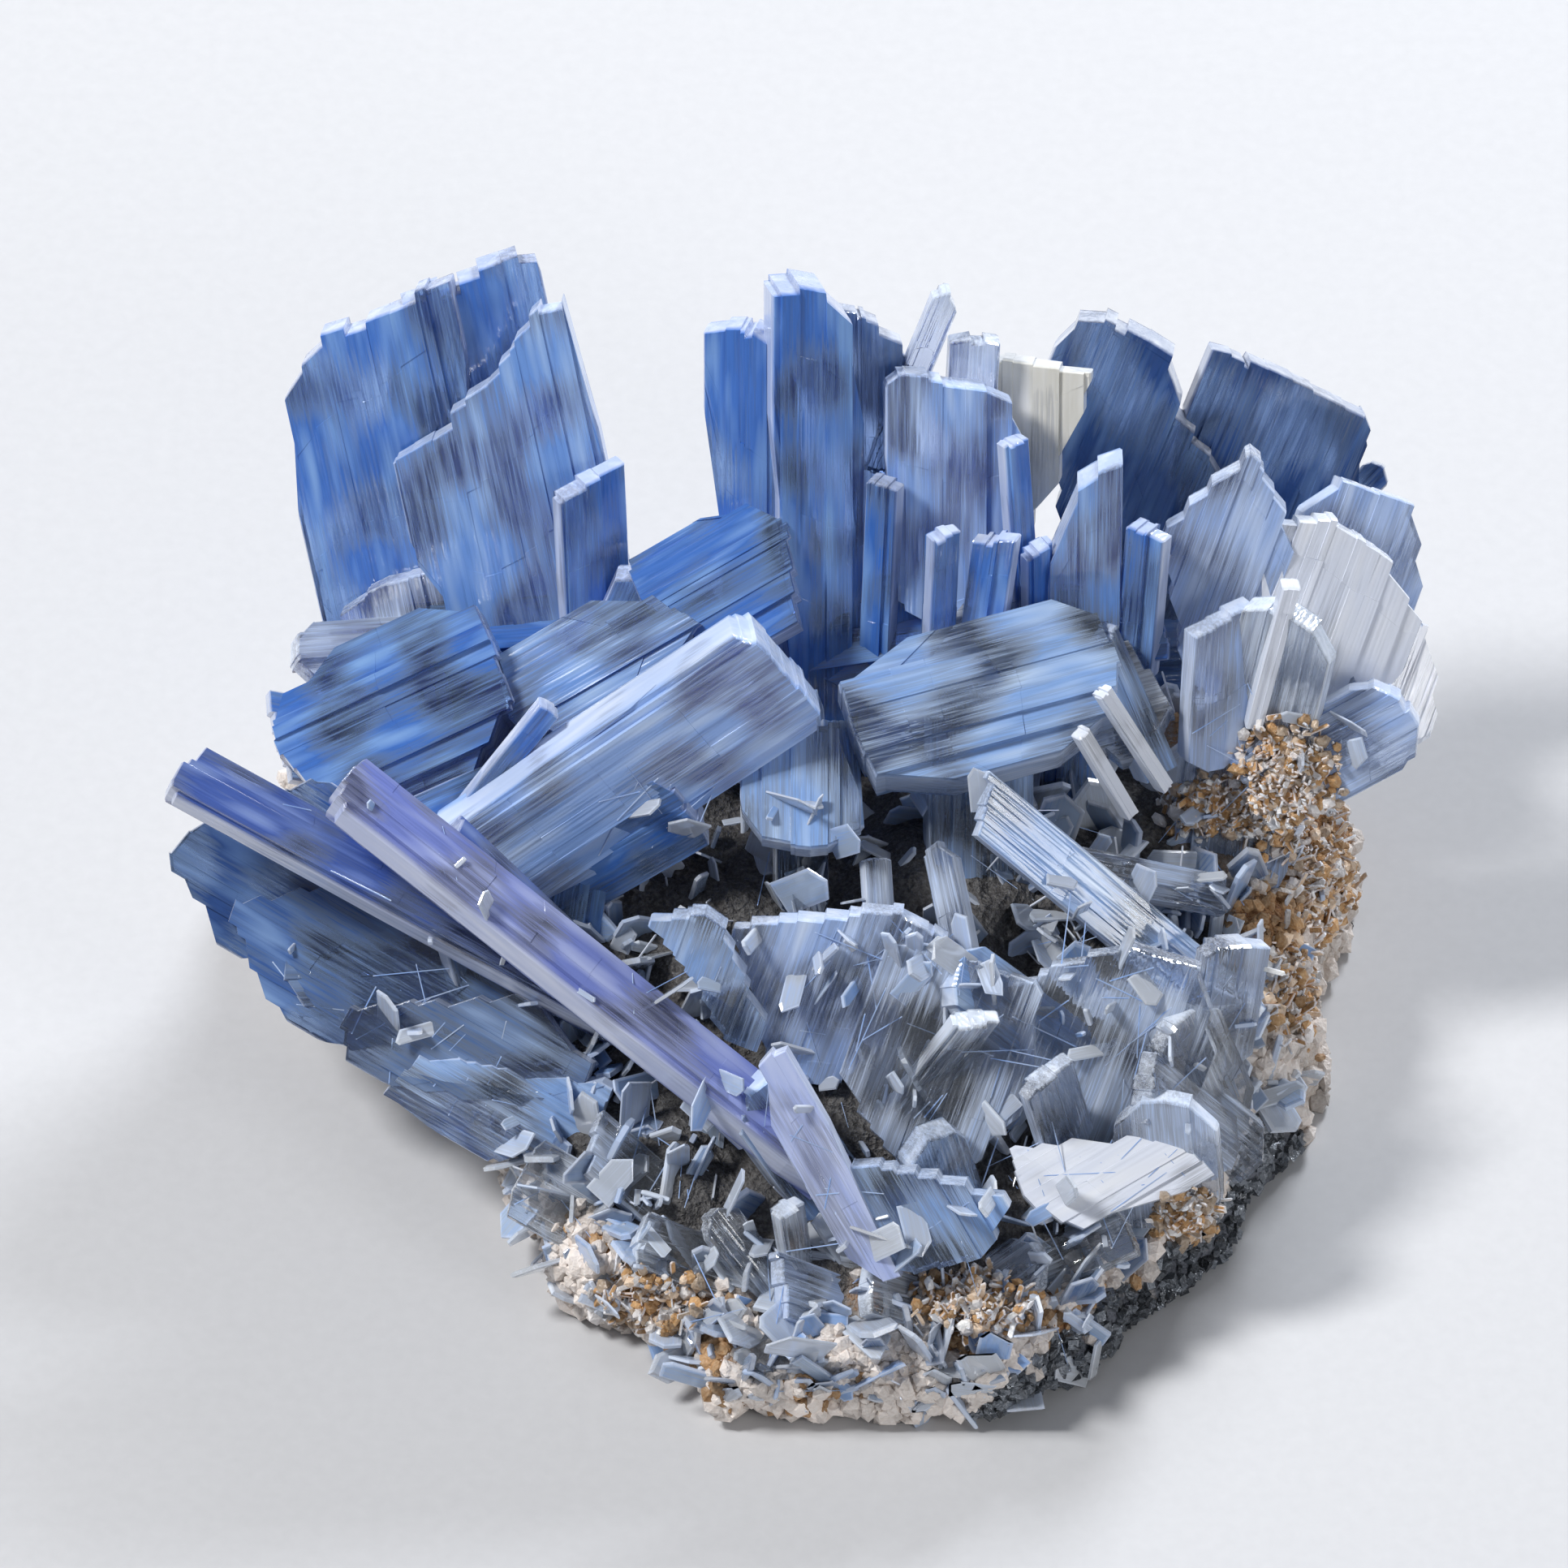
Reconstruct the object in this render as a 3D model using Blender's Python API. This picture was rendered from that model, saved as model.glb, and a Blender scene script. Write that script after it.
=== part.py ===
"""A blue barite crystal cluster: sprays of tabular crystals grown on a piece of rock.

Metres, +Z up. The origin is below the middle of the cluster, on the rock's flat underside.
Sizes are written in millimetres. The crystals are placed in the plane of the view that shows the
cluster best: across to the right, up within that plane, and towards the eye. The plane leans back
by VIEW_TILT, and in_view() turns such a place into the cluster's own axes.
"""

import math
import random
from dataclasses import dataclass

import bmesh
import bpy
import numpy as np
from mathutils import Matrix, Vector, noise

MM = 0.001
VIEW_TILT = math.radians(45)

# The rock's flat underside, seen from above, and the height of its middle.
ROCK_OUTLINE = (
    (37, -1), (38, 9), (41, 17), (38, 27), (27, 33), (0, 33), (-27, 33), (-38, 26),
    (-38, 14), (-29, 3), (-22, -7), (-17, -22), (-9, -26), (-6, -33), (4, -32), (14, -34),
    (19, -29), (25, -22), (31, -17), (34, -9),
)  # fmt: skip
ROCK_MIDDLE = (2.0, 2.0)
ROCK_HEIGHT = 19.0

# The rock falls away towards the front, to this share of its height at ROCK_FRONT.
ROCK_FRONT = -34.0
ROCK_FRONT_SHARE = 0.2

# Its steep rim is this high, and its profile is flatter than a sphere's by these powers.
ROCK_RIM = 3.0
ROCK_SPREAD = 0.55
ROCK_CROWN = 0.7
ROCK_FINENESS = 4
ROCK_KEEP = 0.16

# Its unevenness: broad swells, angular blocks and grain, each as (size, height).
ROCK_SWELLS = (11.0, 2.0)
ROCK_BLOCKS = (7.0, 1.8)
ROCK_BLOCK_LEVEL = 0.4
ROCK_GRAIN = (3.2, 0.7)

# Neighbouring solids keep this distance, because their meshes may touch but not cross.
GAP = 0.3
FLAT_ANGLE = math.radians(0.3)

# Growth layers: each lies on both broad faces, raised by this share of the crystal's thickness.
LAYER_RISE = 0.16
LAYER_SPAN = (0.52, 0.84)
LAYER_SHIFT = 0.72
LAYER_SHRINK = 0.4

# The stout crystals' edges are cut off by a share of the thickness or of the shortest side.
STOUT = 3.2
CHAMFER_OF_THICKNESS = 0.18
CHAMFER_OF_SIDE = 0.3
CHAMFER_LIMIT = 0.5


@dataclass
class Plate:
    """A tabular crystal that turns a broad face to the view.

    outline holds its corners as (across, up); depth is how far towards the eye its middle is, and
    lean how much nearer it comes per millimetre across and up.
    """

    outline: tuple
    depth: float
    lean: tuple
    thick: float
    layers: int = 1


@dataclass
class Blade:
    """A long crystal from foot to tip, as (across, up, towards), with its broad face to facing."""

    foot: tuple
    tip: tuple
    width: float
    thick: float
    facing: tuple = (0, 0, 1)
    end: str = "flat"
    layers: int = 0


# The free ends, as (share of the half width, distance short of the tip in half widths).
ENDS = {
    "flat": ((1, 0.25), (0.75, 0), (-0.7, 0), (-1, 0.35)),
    "slanted": ((1, 0.1), (0.9, 0), (-1, 0.9)),
    "spear": ((1, 1.5), (0.15, 0), (-0.2, 0), (-1, 0.8)),
    "round": ((1, 0.9), (0.75, 0.3), (0.3, 0), (-0.35, 0.02), (-0.8, 0.4), (-1, 1.0)),
}

STRAP_BLADE = (
    Plate(((-3, 3.5), (-1, 4), (1.5, -1.5), (5.5, -8), (7.5, -12.5), (5, -13), (1.5, -8), (-2, -1.5)),
          30, (0.1, 0.25), 2.0, 0),
    Plate(((3, -4), (9, -5), (15, -7), (13.5, -11), (7, -12.5), (3.5, -9)), 28.5, (0.1, 0.2), 3.4),
    Blade((12, -11, 20), (9, -2, 27), 5.0, 2.4, (0.2, 0.1, 1), "round"),
)  # fmt: skip

LONG_DIAGONAL_BLADE = (
    Blade((2.5, -5.5, 25), (-33.2, 22.8, 25), 4.6, 4.4, (0.5, 0.35, 1), "flat", 1),
    Blade((-3.0, -2.5, 22.5), (-26, 19.4, 23.5), 3.2, 3.4, (0.4, 0.6, 1), "slanted"),
    Blade((3.5, -9, 19), (-4, 1.5, 26), 6.0, 4.0, (0.2, 0.1, 1), "round"),
)

DEEP_BLUE_BLADE = (
    Blade((-12.5, 5.8, 19), (-45.2, 23.8, 20), 4.6, 3.8, (0.3, 0.25, 1), "flat", 1),
    Blade((-18, 9.0, 16), (-38, 21.6, 18), 6.4, 2.4, (0.15, 0.1, 1), "round", 1),
    Blade((-14, 3, 10), (-17, 10, 18), 5.0, 3.0, (0.3, 0.2, 1), "slanted"),
)

LOWER_CLEAR_PLATES = (
    Plate(((-11, 13), (-6, 14), (-2.5, 5.5), (-3, 3.5), (-5.5, 4.5), (-8, 9.5)), 23, (0.1, 0.45), 2.2),
    Plate(((-5, 12.5), (-0.5, 13.5), (8, 14), (12, 10.5), (7.5, 7), (4.5, 1.5), (-2, 1), (-3.5, 7)),
          21.5, (0.05, 0.35), 2.4),
    Plate(((3, 2.5), (5, 7), (6, 11), (9, 11.5), (17.5, 8.5), (16.5, 0), (12, -5.5), (7, -4.5), (4, -0.5)),
          22.8, (0.1, 0.1), 2.6),
    Plate(((14, 8), (23.5, 11.5), (29, 10), (30, 2.5), (25, -4), (17, -2)), 21.5, (0.1, 0.25), 2.4),
    Blade((21, 2, 17), (10.5, 9.5, 25), 6.0, 2.0, (0.1, 0.4, 1), "round", 1),
    Blade((6, -3, 18), (13, 6.5, 27.5), 3.4, 1.8, (0.6, 0.2, 1), "slanted"),
    Blade((19.5, -4, 20), (17.5, 2, 28), 4.6, 1.8, (0.3, 0.1, 1), "flat"),
    Blade((6.4, 3, 19), (5.4, 17.4, 18.5), 2.2, 1.8, (0.4, 0, 1), "flat"),
    Blade((13.2, 3, 21.5), (10.0, 18.8, 19), 2.4, 1.8, (-0.4, 0, 1), "spear"),
    Blade((2.6, 3, 19), (0.2, 15.4, 18), 2.2, 1.8, (0, 0, 1), "flat"),
)  # fmt: skip

LOWER_RIGHT_PLATES = (
    Plate(((15, -3.5), (27, -2.5), (30, -5.5), (25, -7.5), (20, -9.5), (16, -7.5)), 24.5, (0, -0.1), 2.0, 0),
    Blade((33, 5, 14), (12.0, 22.2, 21.5), 4.4, 2.2, (0.2, 0.1, 1), "slanted", 1),
    Blade((31, 14.5, 12), (16.0, 17.4, 17.5), 3.2, 1.8, (0, 0.4, 1), "flat"),
    Blade((30, 2, 16), (31.5, 11.5, 20), 5.5, 2.4, (0.5, 0.1, 1), "flat", 1),
    Blade((31, -2.5, 16), (27, 6.4, 23.5), 6.4, 2.4, (0.3, 0.2, 1), "round", 1),
    Blade((27, -9, 21), (26, 0.5, 26), 8.0, 2.2, (-0.2, 0.1, 1), "round", 1),
    Blade((31, -4, 18), (24, 1.5, 26.5), 5.0, 2.2, (0.3, 0.2, 1), "slanted"),
    Blade((33, -5, 16), (22, 4, 21), 6.0, 2.4, (0, -0.3, 1), "spear"),
    Blade((34, 8, 9), (26, 4, 18), 6.0, 3.0, (0, 0.2, 1), "flat"),
    Blade((32, 1, 8), (29, 6, 17), 6.0, 3.0, (0, 0.2, 1), "flat"),
)  # fmt: skip

FRONT_CRUST = (
    Blade((-9, -12, 19), (-20.5, -5.5, 19), 6.4, 2.4, (0.1, -0.1, 1), "flat", 1),
    Blade((-6, -11, 20), (-16, -2.4, 21.5), 4.6, 2.0, (0.3, 0.2, 1), "slanted", 1),
    Blade((-2, -14, 22.5), (-12, -10, 25), 4.4, 2.0, (0.2, 0.4, 1), "flat"),
    Blade((-1, -15, 23), (-6.5, -8, 25), 3.4, 1.8, (0.5, 0.1, 1), "round"),
    Blade((4, -15.5, 23.5), (-2.5, -13, 27), 4.6, 2.0, (0.1, 0.3, 1), "slanted"),
    Blade((0, -14, 22), (-1, -7.5, 27), 2.4, 1.8, (0.6, 0, 1), "flat"),
    Blade((10, -15.5, 23.5), (4.5, -13.5, 27.5), 4.0, 1.8, (0, 0.4, 1), "flat"),
    Blade((4, -17.5, 25), (-4.5, -19, 26.5), 3.6, 2.0, (0.1, 0.2, 1), "spear"),
    Blade((12, -15, 22.5), (17.5, -11, 26), 4.4, 1.8, (-0.2, 0.3, 1), "round"),
    Blade((14, -14, 22), (24, -9.5, 24), 3.6, 2.0, (0, 0.3, 1), "flat"),
    Blade((9, -17.5, 25), (13, -16, 27), 3.4, 1.8, (-0.3, 0, 1), "slanted"),
    Blade((-10, -11.5, 21), (15, -15, 23.5), 5.5, 3.0, (0, -0.1, 1), "round"),
)

LEFT_SHELF_PLATES = (
    Plate(((-46.5, 17.5), (-43.5, 20.5), (-35, 19), (-30, 12), (-35, 9.5), (-42, 10.5), (-44, 14)),
          11, (0.12, 0), 2.0),
    Plate(((-42, 14), (-31, 16), (-20, 8), (-23, 3), (-33.5, 3.5), (-37, 5), (-39.5, 8)),
          13.5, (0.2, -0.1), 2.2),
    Plate(((-33.5, 6.5), (-20, 7.5), (-14, 1.5), (-20, -0.5), (-30, 1), (-33, 2.5)), 17, (0.2, 0.1), 2.0),
    Plate(((-30.5, 0.5), (-27.5, 3.5), (-13.5, 1), (-14.5, -3.5), (-23, -4.5), (-27.5, -1.5)),
          16.5, (0.25, 0.35), 2.2),
    Blade((-18, 9, 10), (-38, 8.5, 12), 6.0, 3.6, (0, 0.3, 1), "round"),
    Blade((-14, 1, 13), (-27, 3.6, 15), 6.5, 3.6, (0, 0.3, 1), "round"),
    Blade((-20, -3, 10), (-24.5, 13, 16), 5.0, 2.4, (0.5, 0, 1), "flat"),
)  # fmt: skip

SLANTING_BLADE = (
    Blade((-23.8, 16.4, 15.5), (-0.8, 31.6, 21), 10.6, 4.8, (0.25, -0.42, 0.9), "flat", 1),
    Blade((-20.5, 14.5, 13), (-8, 21.6, 18), 7.5, 3.0, (0.2, -0.5, 0.9), "flat"),
    Blade((-25.4, 19.6, 15), (-18.0, 28.6, 20), 1.8, 1.6, (0.3, -0.2, 1), "flat"),
    Blade((-27.0, 17.0, 14), (-20.4, 25.4, 18), 1.6, 1.6, (0.1, 0.2, 1), "slanted"),
    Blade((-19, 6, 9), (-17, 19, 15), 7.0, 4.0, (0.1, -0.1, 1), "flat"),
)

BEHIND_SLANTING_BLADE = (
    Plate(((-22, 32), (-12.5, 37), (-6, 34), (-15, 26), (-21, 26.5)), 10.5, (0.2, -0.25), 4.4),
    Plate(((-12.5, 39), (-8, 41.5), (-3, 43), (-0.5, 42), (0, 34), (-6, 32), (-12, 36)),
          10, (0.15, -0.2), 4.6),
    Blade((-17, 20, 0), (-9, 37.5, 8), 9.0, 5.0, (0, -0.2, 1), "flat"),
)  # fmt: skip

ROUND_BLADE = (
    Plate(((-4.5, 24.5), (-2, 27), (3, 27), (3.8, 23), (4.5, 19.5), (1.5, 17.5), (-1.5, 18), (-4, 19)),
          17.5, (0, -0.35), 2.4, 1),
    Blade((-1, 29, 10), (0, 20, 17), 5.4, 2.4, (0.1, 0.3, 1), "round"),
    Blade((2.6, 27, 12), (3.2, 18.5, 17.5), 3.0, 2.0, (0.5, 0.3, 1), "slanted"),
    Blade((0, 10, 8), (0, 20.5, 16.5), 4.0, 2.4, (0.1, 0.3, 1), "flat"),
)  # fmt: skip

CLEAR_BLOCK = (
    Plate(((2.5, 30), (11.5, 34), (21, 36), (23.5, 31), (22.5, 26.5), (16, 23.5), (6, 22), (4, 25)),
          15, (0, -0.3), 6.4, 2),
    Plate(((10.5, 35), (18, 37.5), (24, 33), (27.5, 28), (24, 24), (16, 28)), 10.5, (0.1, -0.25), 4.4),
    Blade((26.0, 23.5, 12), (21.4, 33.8, 16), 3.0, 2.4, (0.4, 0, 1), "slanted"),
    Blade((26.6, 22.5, 14), (21.8, 29.6, 19.5), 1.3, 1.3, (0.4, 0, 1), "flat"),
    Blade((24.0, 20.5, 14), (20.2, 26.6, 19.5), 1.2, 1.2, (0.4, 0, 1), "flat"),
    Blade((13, 13, 9), (13, 29, 14), 8.0, 4.0, (0.2, -0.1, 1), "flat"),
)  # fmt: skip

BLUE_BLOCK = (
    Plate(((-38.5, 27.5), (-35, 31), (-32, 33.5), (-28, 35), (-23, 35.5), (-22, 32.5), (-20.5, 28),
           (-24.5, 22), (-29, 20), (-35, 21.5), (-38, 24.5)), 9, (0.1, -0.15), 8.0, 1),
    Blade((-24, 33, 0), (-37.5, 32, 4), 5.0, 3.0, (-0.1, 0.3, 1), "round"),
    Blade((-26, 24, 2), (-40, 26.5, 4), 6.5, 3.6, (-0.1, 0.2, 1), "slanted", 1),
    Blade((-22, 22.5, 12), (-28.5, 19.5, 16), 4.0, 2.4, (0.2, 0.2, 1), "flat"),
    Blade((-28, 14, 0), (-30, 30, 7), 9.0, 5.0, (0.1, 0, 1), "flat"),
)  # fmt: skip

CLEAR_SPEAR = (
    Plate(((18, 33), (18.5, 42.5), (19.5, 44), (22.5, 47), (23.5, 47), (23.5, 39.5), (23, 32)),
          13, (0, 0.5), 3.4),
    Blade((24.6, 31, 9), (25.4, 41.5, 15.5), 3.4, 2.0, (-0.5, 0, 1), "flat"),
    Blade((17.4, 31, 8), (17.2, 40.5, 14), 2.2, 1.8, (0.4, 0, 1), "slanted"),
    Blade((17, 32.5, 9), (27, 33.5, 10), 3.4, 2.4, (0, 0, 1), "flat"),
    Blade((20, 19, 2), (20.5, 38, 10), 5.0, 3.0, (0.1, 0, 1), "flat"),
)  # fmt: skip

PALE_FAN = (
    Plate(((26.5, 41.5), (33, 47.5), (34.5, 44.5), (36, 41.5), (36, 34), (32, 28), (28, 31)),
          11, (0, 0.35), 2.8),
    Plate(((34, 42), (39, 42.5), (43, 39.5), (45.5, 34.5), (42, 28), (36, 27), (33, 33)),
          9.5, (-0.2, 0.3), 2.4),
    Plate(((36, 41.5), (39, 45.5), (45, 43.5), (45.5, 36.5), (43, 30), (36, 29)), 5, (-0.3, 0.25), 2.4),
    Plate(((36, 33), (40, 36), (46, 34.5), (46.5, 27), (44, 24.5), (36, 23)), 7, (-0.3, 0.1), 2.6),
    Blade((33, 24, 8), (35.6, 35.8, 17), 8.5, 2.4, (-0.2, 0.2, 1), "round", 1),
    Blade((33.0, 22, 9), (44.8, 28.4, 12), 7.5, 2.6, (0.35, -0.1, 1), "round", 1),
    Blade((30, 24, 10), (30.5, 36, 16), 5.0, 2.0, (0.45, 0, 1), "slanted"),
    Blade((33.0, 27, 12), (35.6, 37.4, 18.5), 1.4, 1.6, (0.2, 0, 1), "flat"),
    Blade((30, 27, 6), (41, 31, 7), 6.0, 4.0, (0, 0.1, 1), "round"),
    Blade((31, 13, 2), (33, 30, 8.5), 9.0, 5.0, (0.1, 0, 1), "flat"),
)  # fmt: skip

CENTRE_SPIRES = (
    Plate(((-2.5, 59.5), (0.5, 60), (3, 58), (4, 52.5), (4.5, 44.5), (4, 26), (1, 23), (-1, 26),
           (-2, 44.5), (-2.5, 52.5)), 10.5, (-0.25, 0.42), 4.6, 1),
    Plate(((-7, 56), (-6, 56.5), (-3, 56.5), (-1.5, 54.5), (0.5, 44.5), (1.5, 30), (-2, 29.5), (-5, 34),
           (-6, 42.5), (-6.5, 52)), 9.5, (0.2, 0.42), 3.4, 1),
    Plate(((2.5, 58), (4.5, 57.5), (7.5, 55.5), (8.5, 52.5), (8.5, 38), (4.5, 34), (3, 45.5)),
          8, (-0.1, 0.35), 3.0, 1),
    Plate(((6, 51), (6.5, 53), (8.5, 53), (15, 51.5), (16.5, 47), (15, 36), (11, 33), (7, 36.5)),
          10.5, (-0.1, 0.3), 3.0),
    Plate(((14, 54.5), (21.5, 53), (19, 45.5), (16, 40), (12.5, 42)), 6.5, (0.15, 0.3), 2.2, 0),
    Blade((5.5, 46, 6), (10.9, 59, 13), 2.2, 1.8, (0.3, 0, 1), "spear"),
    Blade((12.2, 44, 6), (12.7, 55.6, 11), 3.8, 2.2, (0.1, 0.2, 1), "flat"),
    Blade((5.6, 31, 6), (6.2, 45, 14), 2.6, 2.0, (-0.4, 0, 1), "flat"),
    Blade((13.0, 31, 9), (14.4, 41.4, 17), 3.4, 2.0, (-0.3, 0, 1), "slanted"),
    Blade((10.0, 31, 9), (10.4, 41.2, 16.5), 2.4, 1.8, (0.5, 0, 1), "flat"),
    Blade((16.6, 33, 8), (15.4, 48.0, 15.5), 2.2, 1.8, (0.5, 0, 1), "flat"),
    Blade((0.5, 32, 5), (17, 34.5, 7), 6.5, 4.0, (0, 0.1, 1), "flat"),
    Blade((9, 21, -1), (9.5, 38, 7), 11.0, 4.0, (0.1, 0, 1), "flat"),
)  # fmt: skip

RIGHT_PLATE_SPRAY = (
    Plate(((18, 54), (21, 58), (22.5, 58), (27.5, 55), (28, 50.5), (31.5, 47), (31, 24), (22, 22)),
          -2, (0.1, 0.4), 2.8),
    Plate(((26.5, 45), (29.5, 51), (30, 55), (31, 55.5), (42, 50.5), (42, 46.5), (40, 37.5),
           (33, 27)), -3.5, (-0.15, 0.4), 2.6),
    Blade((38.5, 41.5, -6), (43.4, 46.4, -5), 2.4, 1.8, (0.2, 0.2, 1), "round"),
    Blade((23, 33, -7), (41, 34, -5), 8.0, 4.0, (0, 0.1, 1), "round"),
)  # fmt: skip

LEFT_PLATE_SPRAY = (
    Plate(((-30, 46.5), (-26, 50), (-23, 52.5), (-19, 58.5), (-17, 58.5), (-16.5, 54), (-16, 49.5),
           (-14, 45), (-12.5, 39.5), (-14, 34), (-21, 30), (-25.5, 35), (-29, 41.5)),
          5, (0.1, 0.35), 2.6),
    Plate(((-38, 53.5), (-36, 54.5), (-36, 56), (-30.5, 58), (-30, 58.5), (-25.5, 60.5), (-23, 38.5),
           (-25, 22), (-32, 23), (-36.5, 39.5), (-37, 44.5)), 0.5, (0.15, 0.42), 2.8),
    Plate(((-31, 58), (-20, 62.5), (-19.5, 62), (-18.5, 58.5), (-18, 52), (-17, 42.5), (-18, 24),
           (-24.5, 22), (-29, 44)), 0, (-0.12, 0.42), 2.8),
    Plate(((-35, 32.5), (-33.5, 36), (-30.5, 38), (-26, 39), (-26, 33), (-29, 30)), -0.5, (0.1, 0.3), 3.0, 0),
    Blade((-15, 32, 2), (-15.6, 46.4, 9.5), 5.5, 2.2, (0.4, 0, 1), "slanted"),
    Blade((-31, 33, -1), (-17, 34, 1), 6.0, 4.4, (0, 0.2, 1), "flat"),
)  # fmt: skip

CLEAR = (0.62, 0.70, 0.78)
PALE = (0.66, 0.72, 0.85)
BLUE = (0.30, 0.44, 0.80)
DEEP = (0.20, 0.27, 0.62)
CRYSTAL_ROUGHNESS = 0.15
CRYSTAL_TRANSMISSION = 0.6
ROCK_COLOUR = (0.55, 0.47, 0.40)
ROCK_ROUGHNESS = 0.85

# The sprays from the front of the view to the back: each gives way to those before it.
SPRAYS = (
    ("white_strap_blade", STRAP_BLADE, PALE),
    ("long_diagonal_blade", LONG_DIAGONAL_BLADE, DEEP),
    ("deep_blue_blade", DEEP_BLUE_BLADE, DEEP),
    ("lower_clear_plates", LOWER_CLEAR_PLATES, CLEAR),
    ("lower_right_plates", LOWER_RIGHT_PLATES, CLEAR),
    ("front_crust_crystals", FRONT_CRUST, CLEAR),
    ("left_shelf_plates", LEFT_SHELF_PLATES, BLUE),
    ("slanting_blade", SLANTING_BLADE, BLUE),
    ("round_blade", ROUND_BLADE, PALE),
    ("clear_block", CLEAR_BLOCK, CLEAR),
    ("blue_block", BLUE_BLOCK, BLUE),
    ("blades_behind_slanting", BEHIND_SLANTING_BLADE, BLUE),
    ("clear_spear", CLEAR_SPEAR, CLEAR),
    ("pale_fan", PALE_FAN, PALE),
    ("centre_spires", CENTRE_SPIRES, BLUE),
    ("right_plate_spray", RIGHT_PLATE_SPRAY, DEEP),
    ("left_plate_spray", LEFT_PLATE_SPRAY, BLUE),
)


def in_view(across, up, towards):
    """A place or direction given in the view's plane, in the cluster's own axes."""
    lean, rise = math.cos(VIEW_TILT), math.sin(VIEW_TILT)
    return Vector((across, up * rise - towards * lean, up * lean + towards * rise))


def plate_form(plate):
    """The plate's outline about its own middle, and the frame that carries it to its place."""
    count = len(plate.outline)
    middle = Vector((sum(p[0] for p in plate.outline) / count, sum(p[1] for p in plate.outline) / count))
    outline = [Vector(point) - middle for point in plate.outline]
    along_x = in_view(1, 0, plate.lean[0])
    along_y = in_view(0, 1, plate.lean[1])
    facing = along_x.cross(along_y).normalized()
    frame = Matrix((along_x, along_y, facing)).transposed().to_4x4()
    return outline, Matrix.Translation(in_view(middle.x, middle.y, plate.depth)) @ frame


def blade_form(blade):
    """The blade's outline, from its foot at the origin along +Y, and the frame that places it."""
    foot, tip = in_view(*blade.foot), in_view(*blade.tip)
    length = (tip - foot).length
    along = (tip - foot) / length
    facing = in_view(*blade.facing)
    facing = (facing - along * facing.dot(along)).normalized()
    half = blade.width / 2
    outline = [Vector((-half * 0.9, 0)), Vector((half * 0.9, 0))]
    outline += [Vector((share * half, length - short * half)) for share, short in ENDS[blade.end]]
    frame = Matrix((along.cross(facing), along, facing)).transposed().to_4x4()
    return outline, Matrix.Translation(foot) @ frame


def outline_slab(outline, thick, chamfer):
    """A closed slab of the outline, with its edges cut off by the chamfer, as a bmesh."""
    curve = bpy.data.curves.new("outline", "CURVE")
    curve.dimensions = "2D"
    curve.fill_mode = "BOTH"
    curve.extrude = (thick / 2 - chamfer) * MM
    curve.bevel_depth = chamfer * MM
    curve.bevel_resolution = 0
    curve.offset = -chamfer * MM
    spline = curve.splines.new("POLY")
    spline.points.add(len(outline) - 1)
    for point, corner in zip(spline.points, outline):
        point.co = (corner.x * MM, corner.y * MM, 0, 1)
    spline.use_cyclic_u = True
    obj = bpy.data.objects.new("outline", curve)
    bpy.context.scene.collection.objects.link(obj)
    mesh = evaluated_mesh(obj)
    bpy.data.objects.remove(obj)
    bpy.data.curves.remove(curve)
    bm = bmesh.new()
    bm.from_mesh(mesh)
    bpy.data.meshes.remove(mesh)
    bmesh.ops.remove_doubles(bm, verts=bm.verts, dist=1e-6)
    bmesh.ops.recalc_face_normals(bm, faces=bm.faces)
    for face in bm.faces:
        face.smooth = False
    return bm


def move_faces_out(bm, distance):
    """Moves every face of a closed mesh out along its normal by the distance."""
    bm.normal_update()
    moves = []
    for vert in bm.verts:
        normals = np.array([face.normal[:] for face in vert.link_faces])
        move = np.linalg.lstsq(normals, np.full(len(normals), distance), rcond=0.05)[0]
        moves.append(Vector(move))
    for vert, move in zip(bm.verts, moves):
        vert.co += move


def crystal_slabs(crystal, seed, grow):
    """The crystal's body and its growth layers as closed meshes, each grown by a distance."""
    outline, frame = plate_form(crystal) if isinstance(crystal, Plate) else blade_form(crystal)
    frame.translation *= MM
    chance = random.Random(seed)
    chamfer = 0.0
    if crystal.thick >= STOUT:
        shortest = min((a - b).length for a, b in zip(outline, outline[1:] + outline[:1]))
        chamfer = min(CHAMFER_OF_THICKNESS * crystal.thick, CHAMFER_OF_SIDE * shortest, CHAMFER_LIMIT)
    forms = [(outline, crystal.thick, chamfer)]
    middle = sum(outline, Vector((0, 0))) / len(outline)
    for layer in range(1, crystal.layers + 1):
        anchor = middle.lerp(chance.choice(outline), LAYER_SHIFT)
        span = chance.uniform(*LAYER_SPAN) / layer**LAYER_SHRINK
        smaller = [anchor + (corner - anchor) * span for corner in outline]
        forms.append((smaller, crystal.thick * (1 + 2 * LAYER_RISE * layer), 0.0))
    meshes = []
    for corners, thick, edge in forms:
        bm = outline_slab(corners, thick, edge)
        bmesh.ops.transform(bm, matrix=frame, verts=bm.verts)
        if grow:
            move_faces_out(bm, grow * MM)
        mesh = bpy.data.meshes.new("slab")
        bm.to_mesh(mesh)
        bm.free()
        meshes.append(mesh)
    return meshes


def evaluated_mesh(obj):
    graph = bpy.context.evaluated_depsgraph_get()
    return bpy.data.meshes.new_from_object(obj.evaluated_get(graph))


def boolean(obj, operation, operands):
    """A Boolean on obj with all the objects of a collection, kept as its mesh."""
    modifier = obj.modifiers.new(operation.lower(), "BOOLEAN")
    modifier.operation = operation
    modifier.operand_type = "COLLECTION"
    modifier.collection = operands
    mesh = evaluated_mesh(obj)
    obj.modifiers.clear()
    old = obj.data
    obj.data = mesh
    bpy.data.meshes.remove(old)


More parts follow.
